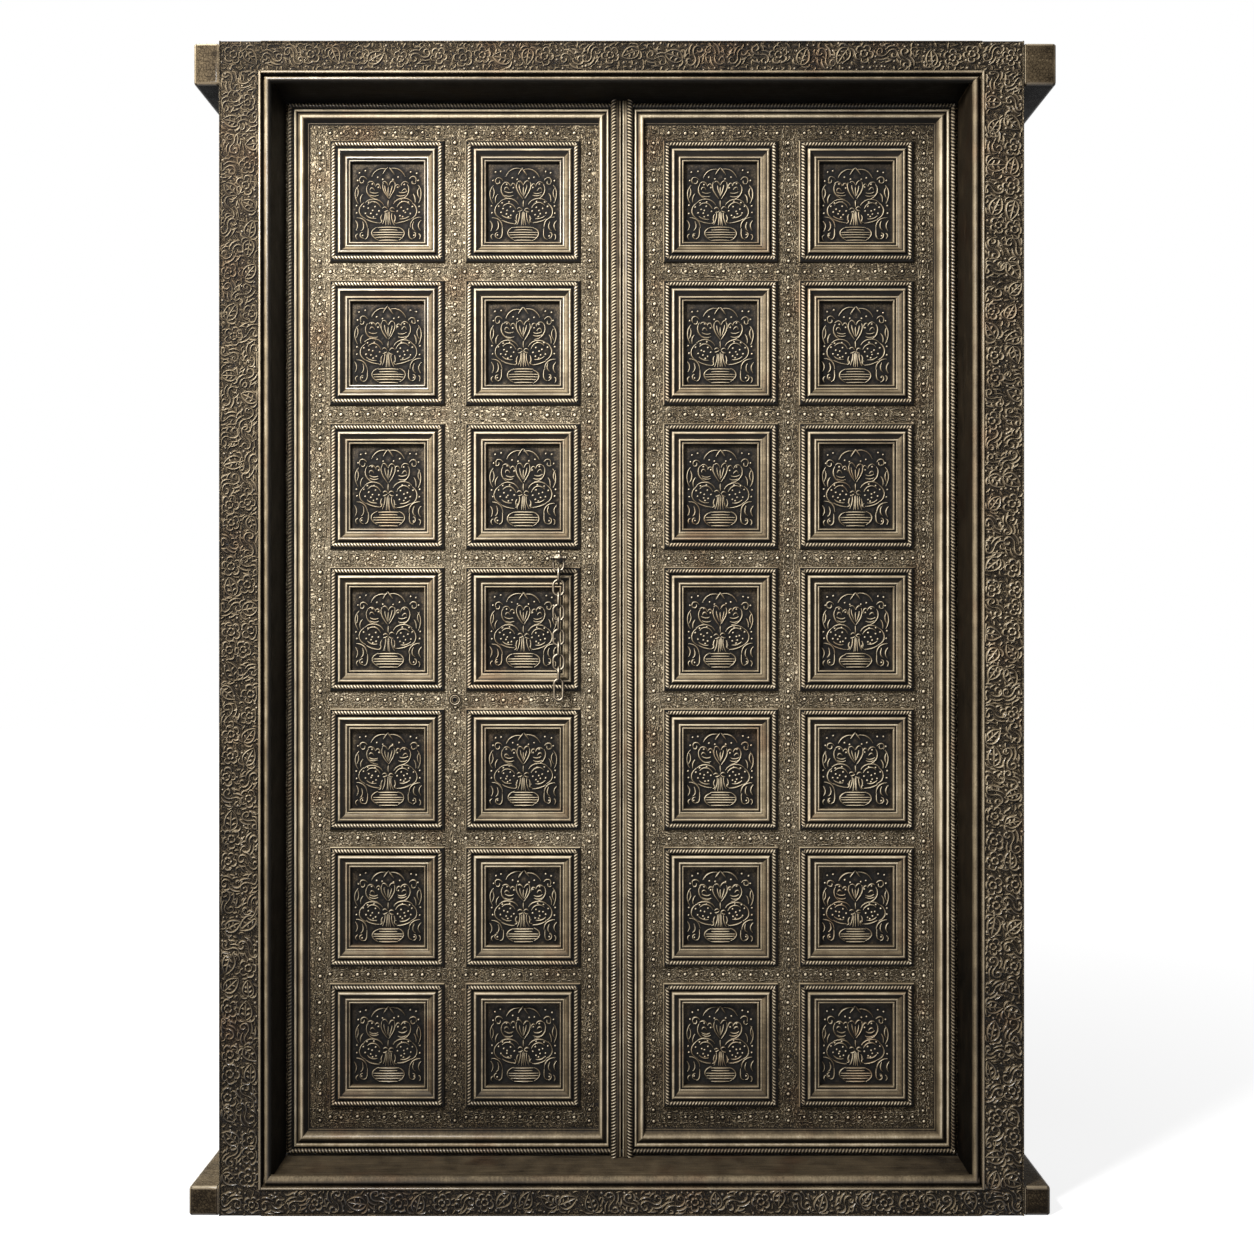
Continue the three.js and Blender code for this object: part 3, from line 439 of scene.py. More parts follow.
# Sections of a ridge: offset in half widths, rise and crest. NICK is for the smallest cuts.
RIDGE = np.array([
    [-1.8, 0.0, -0.4], [-1.2, 0.03, -1.2], [-0.64, 0.76, 0.1], [0.0, 1.0, 0.9],
    [0.64, 0.76, 0.1], [1.2, 0.03, -1.2], [1.8, 0.0, -0.4],
])
NICK = np.array([
    [-1.8, 0.0, -0.4], [-1.05, 0.1, -1.1], [0.0, 1.0, 0.9], [1.05, 0.1, -1.1], [1.8, 0.0, -0.4],
])
TIP = 0.04     # share of a path at each end that keeps one width


def strokes(shape, paths, width, height, face, section=RIDGE):
    """Ridges with a dark foot along paths: at a share t of the path its section of offset, rise and crest
    is sin(pi t)^0.45 of its size. Each ridge is lifted a little more than the last, as they cross."""
    along = np.gradient(paths, axis=1)
    along /= np.linalg.norm(along, axis=-1, keepdims=True) + 1e-12
    right = np.stack([along[..., 1], -along[..., 0]], -1)
    t = np.linspace(0, 1, paths.shape[1])
    taper = (np.sin(math.pi * np.clip(t, TIP, 1 - TIP)) ** 0.45)[None, :, None]
    across = section[:, 0] * taper * np.reshape(width, (-1, 1, 1)) / 2
    lift = np.linspace(0.1, 0.4, len(paths))[:, None, None] * MM
    rise = section[:, 1] * taper * np.reshape(height, (-1, 1, 1)) + lift
    plan = paths[:, :, None] + right[:, :, None] * across[..., None]
    points = onto_face(plan, np.broadcast_to(rise, plan.shape[:-1]), face)
    shape.grid(points, np.broadcast_to(section[:, 2], points.shape[:-1]))


def domes(shape, centres, radius, height, face, sides):
    """Bosses: at a lift a, a ring has the radius cos a and the rise sin a, in a dark ring on the ground."""
    lift = np.array([0.0, 0.0, 0.75, 1.25])
    reach = np.array([1.6, 1.0, 1.0, 1.0]) * np.cos(lift)
    turn = np.arange(sides) * 2 * math.pi / sides
    ring = np.stack([np.cos(turn), np.sin(turn)], -1)
    radius = np.broadcast_to(radius, len(centres))[:, None, None, None]
    height = np.broadcast_to(height, len(centres))[:, None]
    plan = centres[:, None, None] + reach[None, :, None, None] * ring[None, None] * radius
    rise = (np.sin(lift)[None] * height)[..., None] + 0.2 * MM
    points = onto_face(plan, np.broadcast_to(rise, plan.shape[:-1]), face)
    top = 3 * sides
    caps = [[top, top + k, top + k + 1, top + min(k + 2, sides - 1)] for k in range(1, sides - 1, 2)]
    one = np.concatenate([grid_faces(4, sides, False, True), np.array(caps)])
    starts = np.arange(len(centres))[:, None, None] * 4 * sides
    crest = np.array([-0.4, -1.2, 0.7, 1.0])[:, None]
    shape.add(points, (one[None] + starts).reshape(-1, 4), crest)


def rectangles(shape, x, z, rise, crest, face):
    """A mitred moulding: each row of x and z holds the corners of a rectangle with that rise and crest."""
    points = onto_face(np.stack([x, z], -1), np.repeat(rise[:, None], 4, 1), face)
    shape.grid(points, crest[:, None], False, True, seam=np.arange(1, 5)[None])


def surround(shape, low, high, profile, face):
    """A moulding of steps (inset, rise, crest) round a rectangle."""
    inset, rise, crest = np.array(profile, float).T
    inset, rise = inset * MM, rise * MM
    x = np.stack([low[0] + inset, high[0] - inset, high[0] - inset, low[0] + inset], -1)
    z = np.stack([low[1] + inset, low[1] + inset, high[1] - inset, high[1] - inset], -1)
    rectangles(shape, x, z, rise, crest, face)


def ropes(shape, starts, ends, radius, pitch, face):
    """Twisted beads on straight runs: crests and hollows take turns every half pitch, and each
    row of the surface leans along the run by a pitch from one side of the bead to the other."""
    angle = np.linspace(math.pi * 1.02, -0.02 * math.pi, 6)
    lean = np.linspace(-0.5, 0.5, 6)
    for start, end in zip(np.asarray(starts, float), np.asarray(ends, float)):
        length = np.linalg.norm(end - start)
        along = (end - start) / length
        right = np.array([along[1], -along[0]])
        rows = 2 * max(2, round(length / pitch)) + 1
        place = np.linspace(0, length, rows)[:, None] + lean * pitch
        crest = np.where(np.arange(rows) % 2 == 0, 1.0, -1.0)[:, None]
        r = radius * (0.9 + 0.18 * crest)
        plan = start + place[..., None] * along + (r * np.cos(angle))[..., None] * right
        points = onto_face(plan, r * np.sin(angle), face)
        shape.grid(points, np.where(crest > 0, 1.25, -1.1) * np.sin(angle).clip(0.3))


def rope_round(shape, low, high, inset, radius, pitch, face):
    """A twisted bead round a rectangle, that far inside its edge."""
    (x0, z0), (x1, z1) = np.array(low) + inset, np.array(high) - inset
    corners = np.array([[x0, z0], [x1, z0], [x1, z1], [x0, z1]])
    ropes(shape, corners, np.roll(corners, -1, 0), radius, pitch, face)


def plate(shape, low, high, face, crest):
    """A flat upright rectangle in the plane y = face."""
    x, z = np.meshgrid([low[0], high[0]], [low[1], high[1]])
    shape.grid(onto_face(np.stack([x, z], -1), 0.0, face), crest)


def block(shape, low, high, crest=0.0):
    """A closed box: four sides as a loop of corners, and its front and back."""
    (x0, y0, z0), (x1, y1, z1) = low, high
    loop = np.array([[x0, z0], [x1, z0], [x1, z1], [x0, z1]])
    points = np.stack([np.stack([loop[:, 0], np.full(4, y), loop[:, 1]], -1) for y in (y1, y0)])
    faces = np.concatenate([grid_faces(2, 4, False, True), [[4, 5, 6, 7], [3, 2, 1, 0]]])
    shape.add(points, faces, crest)


# ---- where things are ----

LEAF_FRONT = span("left_muntin", 1)[0]
LEAF_BACK = span("left_meeting_stile", 1)[1]
LEAF_LOW, LEAF_HIGH = span("left_muntin", 2)
RAILS = [span(f"left_rail_{number}", 2) for number in range(1, 9)]
ROWS = [(below[1], above[0]) for below, above in zip(RAILS, RAILS[1:])]
MUNTIN = span("left_muntin", 0)
COLUMNS = [(span("left_pivot_stile", 0)[1], MUNTIN[0]), (MUNTIN[1], span("left_meeting_stile", 0)[0])]
BORDER_IN = (span("left_border_hinge", 0)[1], span("left_border_meeting", 0)[0])
BORDER_LOW, BORDER_HIGH = span("left_border_bottom", 2)[1], span("left_border_top", 2)[0]
FRONT = solid_bounds[0].y


# ---- coffers ----

# From the coffer's edge inwards: inset, rise and crest. A slope, the bed of the twisted bead, a roll, a
# cove, two small beads and the drop to the panel.
COFFER = [
    (0.2, -1, -1), (0.2, 0.8, -0.6), (0.9, 3.4, 0.2), (2.0, 6.4, 0.2), (2.8, 7.4, -0.7), (3.6, 7.6, -1),
    (14.4, 7.6, -1), (15, 4.4, -0.9), (18.6, 4, -0.8), (19.4, 8, -0.3), (20, 10.4, 0.3), (21.2, 11.8, 0.6),
    (22.8, 12.2, 0.7), (24.2, 11.8, 0.6), (25, 10.6, 0.1), (25.4, 9.0, -0.9), (26.2, 8.8, -0.8),
    (27, 8.4, -0.4), (30, 5.4, -0.1), (33, 2.9, 0.1), (34.6, 2.3, 0.3), (35.1, 3.2, 0.5), (36, 4.3, 0.7),
    (37.8, 4.1, 0.6), (38.5, 2.6, 0), (39.0, 0.4, -0.9), (41.2, 0.2, -1), (41.8, 2.2, 0.2),
    (42.8, 3.2, 0.5), (44.2, 3, 0.4), (45, 1.6, 0), (45.6, -11.2, -1), (46.4, -12, -1),
]
PANEL_INSET = 46.4 * MM
PANEL_FACE = LEAF_FRONT + 12 * MM
ROPE_INSET, ROPE_RADIUS, ROPE_PITCH, ROPE_BED = 9.8 * MM, 4.3 * MM, 6.8 * MM, 7.6 * MM
COFFER_SEEDS = {"left": 11, "right": 12}


def mirrored(controls):
    """The curves of the right half and their mirror image on the left."""
    controls = np.asarray(controls, float)
    return np.concatenate([controls, controls * (-1, 1)])


# The vase's curves in hundredths of half the panel, from its middle to the right and up.
VASE_PAIRS = mirrored([
    [(4, 86), (22, 90), (40, 82), (47, 66)], [(0, 91), (5, 86), (9, 80), (14, 74)],
    [(2, 12), (10, 22), (25, 38), (17, 54)], [(17, 54), (12, 60), (5, 56), (1, 47)],
    [(2, 20), (6, 28), (10, 38), (10, 46)], [(30, 10), (58, 11), (68, 36), (56, 50)],
    [(56, 50), (49, 57), (38, 54), (35, 44)], [(35, 44), (30, 54), (22, 50), (21, 38)],
    [(38, 34), (42, 42), (50, 42), (51, 34)], [(28, 28), (36, 23), (46, 25), (52, 30)],
    [(27, 20), (36, 15), (45, 17), (52, 21)], [(58, 60), (66, 72), (84, 66), (76, 52)],
    [(76, 52), (72, 46), (63, 50), (66, 58)], [(82, 46), (95, 34), (94, 14), (84, 0)],
    [(86, 40), (79, 30), (81, 20), (88, 12)], [(70, 24), (76, 18), (78, 10), (76, 2)],
    [(14, -4), (22, 12), (52, 16), (66, 2)], [(66, 2), (85, -10), (85, -32), (62, -40)],
    [(62, -40), (50, -47), (38, -50), (24, -50)], [(24, -50), (16, -50), (15, -42), (22, -40)],
    [(22, -12), (28, 3), (48, 7), (58, -5)], [(60, -30), (52, -38), (42, -40), (32, -38)],
    [(2, -16), (6, -9), (12, -9), (16, -14)], [(2, -17), (7, -21), (10, -22), (14, -21)],
    [(9, -22), (7, -32), (9, -42), (16, -54)], [(3.5, -22), (3, -32), (4, -42), (6, -55)],
    [(16, -28), (21, -34), (20, -42), (17, -47)], [(88, -36), (70, -36), (58, -46), (58, -62)],
    [(58, -62), (57, -76), (56, -90), (68, -90)], [(68, -90), (80, -90), (80, -74), (70, -75)],
    [(72, -46), (66, -58), (68, -66), (76, -70)], [(92, -44), (84, -52), (82, -60), (90, -70)],
    [(84, -78), (90, -80), (92, -86), (86, -92)], [(27, -60), (48, -66), (52, -82), (28, -93)],
]) / 100
VASE_MIDDLE = np.array([
    [(0, 8), (1, 3), (-1, -3), (0, -9)], [(0, 42), (1, 34), (-1, 26), (0, 18)],
    [(0, -20), (0, -30), (0, -42), (0, -55)],
]) / 100
VASE_BANDS = np.array([[28, -61], [25, -67.5], [42, -74], [42, -80], [36, -86.5], [26, -94]]) / 100
VASE_DOTS = mirrored([
    (15, 61.5), (87, -24), (38, 4), (68, -8), (54, -14), (35, -9), (47, -26), (26, -20), (42, -34), (57, 2),
    (62, -24), (34, -30), (27, 40), (45, 49), (84, 58), (30, 66), (62, 82), (78, 78), (72, -82), (88, -6),
    (44, -18),
]) / 100


def on_leaf(shape, side, name, finish, slot, replaced=(), sharp=38):
    """A shape made for the left leaf, as that side's piece; replaced names the nodes without their side."""
    shape.piece(f"{side}_{name}", f"{side}_leaf", finish, slot, [f"{side}_{node}" for node in replaced],
                sharp, mirror=side == "right")


def painted_shade_near(places, marks, near, far):
    """Painted shade beside marks: -1 at places nearer to a mark than near, 0 beyond far, and a straight fall
    between.
    """
    gap = np.linalg.norm(places[:, None] - marks[None], axis=-1).min(1)
    return np.clip((gap - near) / (far - near), 0, 1) - 1


def vase_of_flowers(shape, ground, low, high, chance):
    """A vase with a tulip between scrolls, on a ground with painted shade beside the carving."""
    middle, half = (low + high) / 2, (high - low) / 2
    pairs = VASE_PAIRS + chance.normal(0, 0.012, (len(VASE_PAIRS), 1, 2))
    paths = middle + curves(pairs, 8) * half
    strokes(shape, paths, 3.3 * MM, 3.8 * MM, PANEL_FACE)
    strokes(shape, middle + curves(VASE_MIDDLE, 5) * half, 3.3 * MM, 3.4 * MM, PANEL_FACE)
    reach, level = VASE_BANDS[:, 0], VASE_BANDS[:, 1]
    bands = middle + np.stack([np.linspace(-reach, reach, 6).T, np.repeat(level[:, None], 6, 1)], -1) * half
    strokes(shape, bands, 4.2 * MM, 4.2 * MM, PANEL_FACE)
    dots = middle + (VASE_DOTS + chance.normal(0, 0.01, VASE_DOTS.shape)) * half
    domes(shape, dots, 2.4 * MM, 3.2 * MM, PANEL_FACE, 6)
    marks = np.concatenate([paths.reshape(-1, 2), bands.reshape(-1, 2), dots])
    x, z = np.meshgrid(np.linspace(low[0], high[0], 32), np.linspace(low[1], high[1], 36))
    places = np.stack([x, z], -1)
    shade = painted_shade_near(places.reshape(-1, 2), marks, 4.5 * MM, 9 * MM).reshape(x.shape)
    ground.grid(onto_face(places, 0.0, PANEL_FACE), shade)


def coffers(side):
    """Seven rows of two mitred coffers on the leaf's back board, each round a carved panel."""
    chance = np.random.default_rng(COFFER_SEEDS[side])
    mouldings, beads, grounds, carving = Shape(), Shape(), Shape(), Shape()
    for z0, z1 in ROWS:
        for x0, x1 in COLUMNS:
            low, high = np.array([x0, z0]), np.array([x1, z1])
            surround(mouldings, low, high, COFFER, LEAF_FRONT)
            rope_round(beads, low, high, ROPE_INSET, ROPE_RADIUS, ROPE_PITCH, LEAF_FRONT - ROPE_BED)
            vase_of_flowers(carving, grounds, low + PANEL_INSET, high - PANEL_INSET, chance)
    low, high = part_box("left_panel_board")
    block(mouldings, (low.x, PANEL_FACE + 4 * MM, low.z), (high.x, high.y, high.z))
    on_leaf(mouldings, side, "coffer_mouldings", "moulding_level", "moulding_wood", ["panel_board"])
    on_leaf(beads, side, "coffer_ropes", "rope", "moulding_wood", sharp=60)
    on_leaf(grounds, side, "panel_grounds", "panel", "carved_wood")
    on_leaf(carving, side, "vases", "carving", "carved_wood", sharp=60)


# ---- bands between the coffers ----

BAND_PITCH = 11.5 * MM
BAND_SEEDS = {"left": 21, "right": 22}


def band_row(shape, start, end, chance):
    """Bosses in a row, by turns ringed by two bows and followed by a curl, with leaf flecks beside."""
    start, end = np.array(start), np.array(end)
    length = np.linalg.norm(end - start)
    along = (end - start) / length
    across = np.array([along[1], -along[0]])
    count = max(2, round(length / BAND_PITCH))
    place = (np.arange(count) + 0.5) * length / count
    centres = start + place[:, None] * along + chance.normal(0, 0.7 * MM, (count, 2))
    boss = np.isin(np.arange(count) % 5, (0, 2))
    domes(shape, centres[boss], chance.uniform(3.4, 4.3, boss.sum()) * MM, 4.2 * MM, LEAF_FRONT, 8)
    hooks = centres[~boss]
    n = len(hooks)
    turn, hand = chance.uniform(0, 6.28, n), chance.choice([-1.0, 1.0], n)
    paths = spirals(hooks, chance.uniform(3.6, 5.2, n) * MM, 0.9, turn, hand, 8)
    strokes(shape, paths, 2.6 * MM, 2.6 * MM, LEAF_FRONT, NICK)
    for side in (-1, 1):
        edge = centres + across * side * chance.uniform(8.5, 12.5, (count, 1)) * MM
        lean = along * chance.uniform(3, 6, (count, 1)) * MM
        bow = across * side * chance.uniform(-3, 3, (count, 1)) * MM
        flecks = np.stack([edge - lean, edge - lean / 3 + bow, edge + lean / 3 + bow, edge + lean], 1)
        strokes(shape, curves(flecks, 5), 2.5 * MM, 2.4 * MM, LEAF_FRONT, NICK)
        ring = centres[boss] + across * side * 6.4 * MM
        reach, swell = along * 5 * MM, across * side * 2.6 * MM
        bows = np.stack([ring - reach - swell, ring - reach / 2 + swell / 2, ring + reach / 2 + swell / 2,
                         ring + reach - swell], 1)
        strokes(shape, curves(bows, 6)[chance.random(len(ring)) < 0.6], 2.3 * MM, 2.2 * MM, LEAF_FRONT, NICK)


def bands(side):
    """Carved rows on the stiles, the muntin and the rails, as they show between the coffers."""
    chance = np.random.default_rng(BAND_SEEDS[side])
    shape = Shape()
    low, high = BORDER_LOW + 8 * MM, BORDER_HIGH - 8 * MM
    uprights = [(BORDER_IN[0] + COLUMNS[0][0]) / 2, sum(MUNTIN) / 2, (BORDER_IN[1] + COLUMNS[1][1]) / 2]
    for x in uprights:
        band_row(shape, (x, low), (x, high), chance)
    edges = [(BORDER_LOW, RAILS[0][1]), *RAILS[1:-1], (RAILS[-1][0], BORDER_HIGH)]
    for z0, z1 in edges:
        for x0, x1 in COLUMNS:
            z = (z0 + z1) / 2
            band_row(shape, (x0 - 4 * MM, z), (x1 + 4 * MM, z), chance)
    on_leaf(shape, side, "band_carving", "band", "carved_wood", sharp=60)


# ---- leaf borders and astragals ----

# Across the border from its outer edge: the place on a hinge side, the place on a meeting side,
# the rise and the crest. In order a bed for the twisted bead, a fillet, a roll and a cove.
BORDER = [
    (0, 0, -0.5, -1), (0.3, 0.3, 5, -0.6), (0.8, 0.8, 7.5, -0.8), (11.4, 12, 7.5, -1), (14.6, 15, 6.5, -1),
    (15.2, 15.8, 9.5, 0.2), (16, 16.6, 11.4, 0.8), (18, 18.2, 12, 1), (20, 19.8, 11.2, 0.8),
    (20.8, 20.4, 9, -0.1), (21.4, 21, 6.4, -0.9), (22.6, 22.4, 6.6, -0.3), (25.4, 25, 8.4, -0.1),
    (27.6, 27, 11.6, 0.2), (29.6, 29, 14, 0.6), (32.2, 31.4, 15, 1), (34.8, 33.8, 14.2, 0.6),
    (37, 35.4, 11, 0.1), (39, 36.2, 7.2, -0.2), (42, 36.8, 3.6, -0.4), (43.2, 37.0, 2.2, -1),
    (44.0, 37.3, 3.4, 0.1), (45.4, 37.6, 3.2, 0.1), (46, 37.8, 1.0, -0.9), (48.5, 38, -0.4, -0.9),
]


def borders(side):
    """The moulded border on the leaf's four edges, mitred, with a twisted bead in its bed on all but the
    meeting edge."""
    x0, x1 = span("left_border_hinge", 0)[0], BORDER_IN[1] + 38 * MM
    z0, z1 = span("left_border_bottom", 2)[0], span("left_border_top", 2)[1]
    wide, narrow, rise, crest = np.array(BORDER, float).T
    wide, narrow = wide / wide[-1], narrow / narrow[-1]
    left, below, above = (wide * width for width in (BORDER_IN[0] - x0, BORDER_LOW - z0, z1 - BORDER_HIGH))
    right = narrow * (x1 - BORDER_IN[1])
    x = np.stack([x0 + left, x1 - right, x1 - right, x0 + left], -1)
    z = np.stack([z0 + below, z0 + below, z1 - above, z1 - above], -1)
    shape, beads = Shape(), Shape()
    rectangles(shape, x, z, rise * MM, crest, LEAF_FRONT)
    bed = np.stack([x[2] + x[3], z[2] + z[3]], -1) / 2
    ropes(beads, bed[[0, 2, 3]], bed[[1, 3, 0]], 5.2 * MM, 7.2 * MM, LEAF_FRONT - 7.5 * MM)
    nodes = [f"border_{edge}" for edge in ("hinge", "meeting", "top", "bottom")]
    on_leaf(shape, side, "border_mouldings", "moulding_upright", "moulding_wood", nodes)
    on_leaf(beads, side, "border_ropes", "border_rope", "moulding_wood", sharp=60)


# From the meeting edge outwards: place, rise, crest. An arris, a sloping flank and the bed of a bead.
ASTRAGAL = [
    (0, -0.5, -1), (0, 15, -0.4), (0.5, 17.4, 0.7), (1.4, 18, 0.9), (2.4, 17.6, 0.3), (3, 16.8, -0.6),
    (4, 17.2, 0.1), (8.5, 19.4, 0.2), (10, 19.2, -0.7), (10.6, 17.4, -1), (20, 17.4, -1), (21, 16, -0.6),
    (22, 11, -1), (22, -0.5, -1),
]


def astragals(side):
    """The strip along the meeting edge, with a twisted bead, and a lipping that closes the joint behind."""
    low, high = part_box("left_astragal")
    shape, beads = Shape(), Shape()
    place, rise, crest = np.array(ASTRAGAL[::-1], float).T
    rows = np.array([low.z, low.z + 0.3 * MM, high.z - 0.3 * MM, high.z])
    raised = np.array([0, 1, 1, 0])[:, None]
    rise = rise * MM * raised - 0.5 * MM * (1 - raised)
    plan = np.stack(np.broadcast_arrays(high.x - place * MM, rows[:, None]), -1)
    shape.grid(onto_face(plan, rise, LEAF_FRONT), crest)
    centre = high.x - 15.2 * MM
    ropes(beads, [(centre, low.z)], [(centre, high.z)], 5.5 * MM, 6.8 * MM, LEAF_FRONT - 16.8 * MM)
    turning = (LEAF_FRONT + LEAF_BACK) / 2
    block(shape, (high.x - 6 * MM, turning + 0.4 * MM, LEAF_LOW),
          (-0.03 * MM, LEAF_BACK - 0.3 * MM, LEAF_HIGH))
    on_leaf(shape, side, "astragal_moulding", "moulding_upright", "moulding_wood", ["astragal"])
    on_leaf(beads, side, "astragal_rope", "rope", "moulding_wood", sharp=60)


# ---- carved facings of the frame ----

def turned(controls, degrees):
    """The curves turned about the middle of their unit circle."""
    angle = math.radians(degrees)
    turn = np.array([[math.cos(angle), -math.sin(angle)], [math.sin(angle), math.cos(angle)]])
    return np.asarray(controls, float) @ turn.T


def flower():
    """Five round petals about a small ring."""
    petal = [[(0.42, -0.3), (1.05, -0.55), (1.05, 0.55), (0.42, 0.3)]]
    ring = [[(0.24, -0.2), (0.34, -0.08), (0.34, 0.08), (0.24, 0.2)]]
    return np.concatenate([turned(petal + ring, 72 * k) for k in range(5)])


def leaf():
    """A pointed leaf with a rib, veins in pairs and a curl on either side of its foot."""
    side = [[(0.0, -0.9), (0.95, -0.6), (0.7, 0.4), (0.0, 1.0)],
            [(0.1, -0.95), (0.5, -1.15), (1.0, -0.9), (0.85, -0.5)]]
    side += [[(0.04, t), (0.12, t + 0.15), (0.28, t + 0.25), (0.46, t + 0.25)] for t in (-0.5, 0.0)]
    rib = [[(0.0, -0.85), (0.02, -0.3), (-0.02, 0.3), (0.0, 0.8)]]
    return np.concatenate([mirrored(side), rib])


def scroll():
    """An S of two curls, with commas along it."""
    half = [[(0.0, 0.0), (0.0, 0.8), (0.9, 1.0), (1.0, 0.3)],
            [(1.0, 0.3), (1.02, -0.1), (0.45, -0.15), (0.5, 0.35)],
            [(-0.35, 0.2), (-0.3, 0.7), (0.1, 1.05), (0.5, 1.1)],
            [(0.3, -0.4), (0.5, -0.5), (0.8, -0.45), (1.0, -0.25)],
            [(-0.8, 0.25), (-0.75, 0.5), (-0.6, 0.8), (-0.3, 0.95)]]
    return np.concatenate([half, turned(half, 180)])


def stamp(chance, kind, count):
    """That motif in a unit circle, turned at random, for each of that many places."""
    angle, hand = chance.uniform(0, 2 * math.pi, count), chance.choice([-1.0, 1.0], count)
    cos, sin = np.cos(angle), np.sin(angle)
    turn = np.stack([np.stack([cos, -sin], -1), np.stack([sin, cos], -1)], 1)
    return np.einsum("mkcb,mab->mkca", kind * np.stack([hand, np.ones(count)], -1)[:, None, None], turn)


def scattered(low, high, pitch, shift, chance):
    """Places in even rows that pitch apart at most, each moved at random by about shift."""
    size = high - low
    counts = np.maximum(1, np.round(size / pitch)).astype(int)
    i, j = np.meshgrid(np.arange(counts[0]), np.arange(counts[1]))
    places = low + (np.stack([i, j], -1).reshape(-1, 2) + 0.5) * size / counts
    return places + chance.normal(0, shift, places.shape)


def scrollwork(shape, low, high, face, chance):
    """Motifs about 45 mm across in jittered rows, and commas and dots between them, kept inside the edges."""
    low, high = np.array(low), np.array(high)
    centres = scattered(low, high, 43 * MM, 4 * MM, chance)
    which = chance.choice(3, len(centres), p=(0.28, 0.3, 0.42))
    for kind, motif in enumerate((flower(), leaf(), scroll())):
        spots = centres[which == kind]
        radius = chance.uniform(18, 23, (len(spots), 1, 1, 1)) * MM
        motifs = spots[:, None, None] + stamp(chance, motif, len(spots)) * radius
        motifs = np.clip(motifs.reshape(-1, 4, 2), low + 2 * MM, high - 2 * MM)
        if len(motifs):
            strokes(shape, curves(motifs, 8), chance.uniform(3.6, 5.2, len(motifs)) * MM, 4.4 * MM, face)
    spots = scattered(low, high, 12.5 * MM, 2 * MM, chance)
    spots = spots[np.linalg.norm(spots[:, None] - centres[None], axis=-1).min(1) > 15 * MM]
    dot = chance.random(len(spots)) < 0.3
    domes(shape, spots[dot], chance.uniform(2.4, 3.6, dot.sum()) * MM, 3.6 * MM, face, 6)
    spots = spots[~dot]
    n = len(spots)
    angle = chance.uniform(0, math.pi, n)
    lean = np.stack([np.cos(angle), np.sin(angle)], -1) * chance.uniform(4, 7, (n, 1)) * MM
    bow = np.stack([-lean[:, 1], lean[:, 0]], -1) * chance.uniform(-0.8, 0.8, (n, 1))
    controls = np.stack([spots - lean, spots - lean / 3 + bow, spots + lean / 3 + bow, spots + lean], 1)
    controls = np.clip(controls, low + MM, high - MM)
    strokes(shape, curves(controls, 6), chance.uniform(3.0, 4.4, n) * MM, 3.6 * MM, face, NICK)


FACING_SEEDS = {"facing_left": 31, "facing_right": 32, "facing_head": 33, "facing_sill": 34}


def fillet(shape, low, high, face, crest):
    """A raised strip on the ground y = face, with softened arrises."""
    profile = [(0, -3, -0.5), (0.0, 2.8, crest / 2), (0.8, 3.8, crest), (1.6, 4.0, crest)]
    surround(shape, low, high, profile, face)
    plate(shape, np.array(low) + 1.6 * MM, np.array(high) - 1.6 * MM, face - 4 * MM, crest)


def facing(name, seed):
    """A facing board: a plain outer edge, a worn fillet along the opening, and scrollwork between."""
    low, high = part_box(name)
    upright = high.z - low.z > high.x - low.x
    chance = np.random.default_rng(seed)
    board, carving = Shape(), Shape()
    edge, rim, sunk = 4.6 * MM, 2.6 * MM, 4.0 * MM
    ground = low.y + sunk
    block(board, (low.x, ground, low.z), (high.x, high.y, high.z), -0.2)
    if upright:
        sign = 1 if low.x < 0 else -1
        outer, inner = (low.x, high.x) if sign > 0 else (high.x, low.x)
        foot, head = span("facing_sill", 2)[1] - edge, span("facing_head", 2)[0] + edge
        x0, x1 = sorted((inner - sign * edge, inner))
        fillet(board, (x0, foot), (x1, head), ground, 0.7)
        x0, x1 = sorted((outer, outer + sign * rim))
        fillet(board, (x0, low.z), (x1, high.z), ground, 0.1)
        for z0, z1, back in ((low.z, foot, 0), (foot, head, edge), (head, high.z, 0)):
            x0, x1 = sorted((outer + sign * rim, inner - sign * back))
            scrollwork(carving, (x0, z0), (x1, z1), ground, chance)
    else:
        below, above = (edge, rim) if name == "facing_head" else (rim, edge)
        crests = {edge: 0.7, rim: 0.1}
        fillet(board, (low.x, low.z), (high.x, low.z + below), ground, crests[below])
        fillet(board, (low.x, high.z - above), (high.x, high.z), ground, crests[above])
        scrollwork(carving, (low.x, low.z + below), (high.x, high.z - above), ground, chance)
    board.piece(f"{name}_board", "frame", "facing", "carved_wood", [name])
    carving.piece(f"{name}_scrolls", "frame", "facing_carving", "carved_wood", sharp=60)


# ---- bead round the opening, and the beams' ends ----

# Shares of the bead's width from its outer edge, rise and crest.
BEAD = [
    (0, -0.5, -1), (0, 8, -0.9), (0.06, 10.6, -0.5), (0.18, 13.2, 0.1), (0.4, 14.6, 0.4), (0.62, 14.4, 0.4),
    (0.84, 12.6, 0.0), (0.96, 10, -0.4), (1, 7, -0.7), (1, -0.5, -1),
]


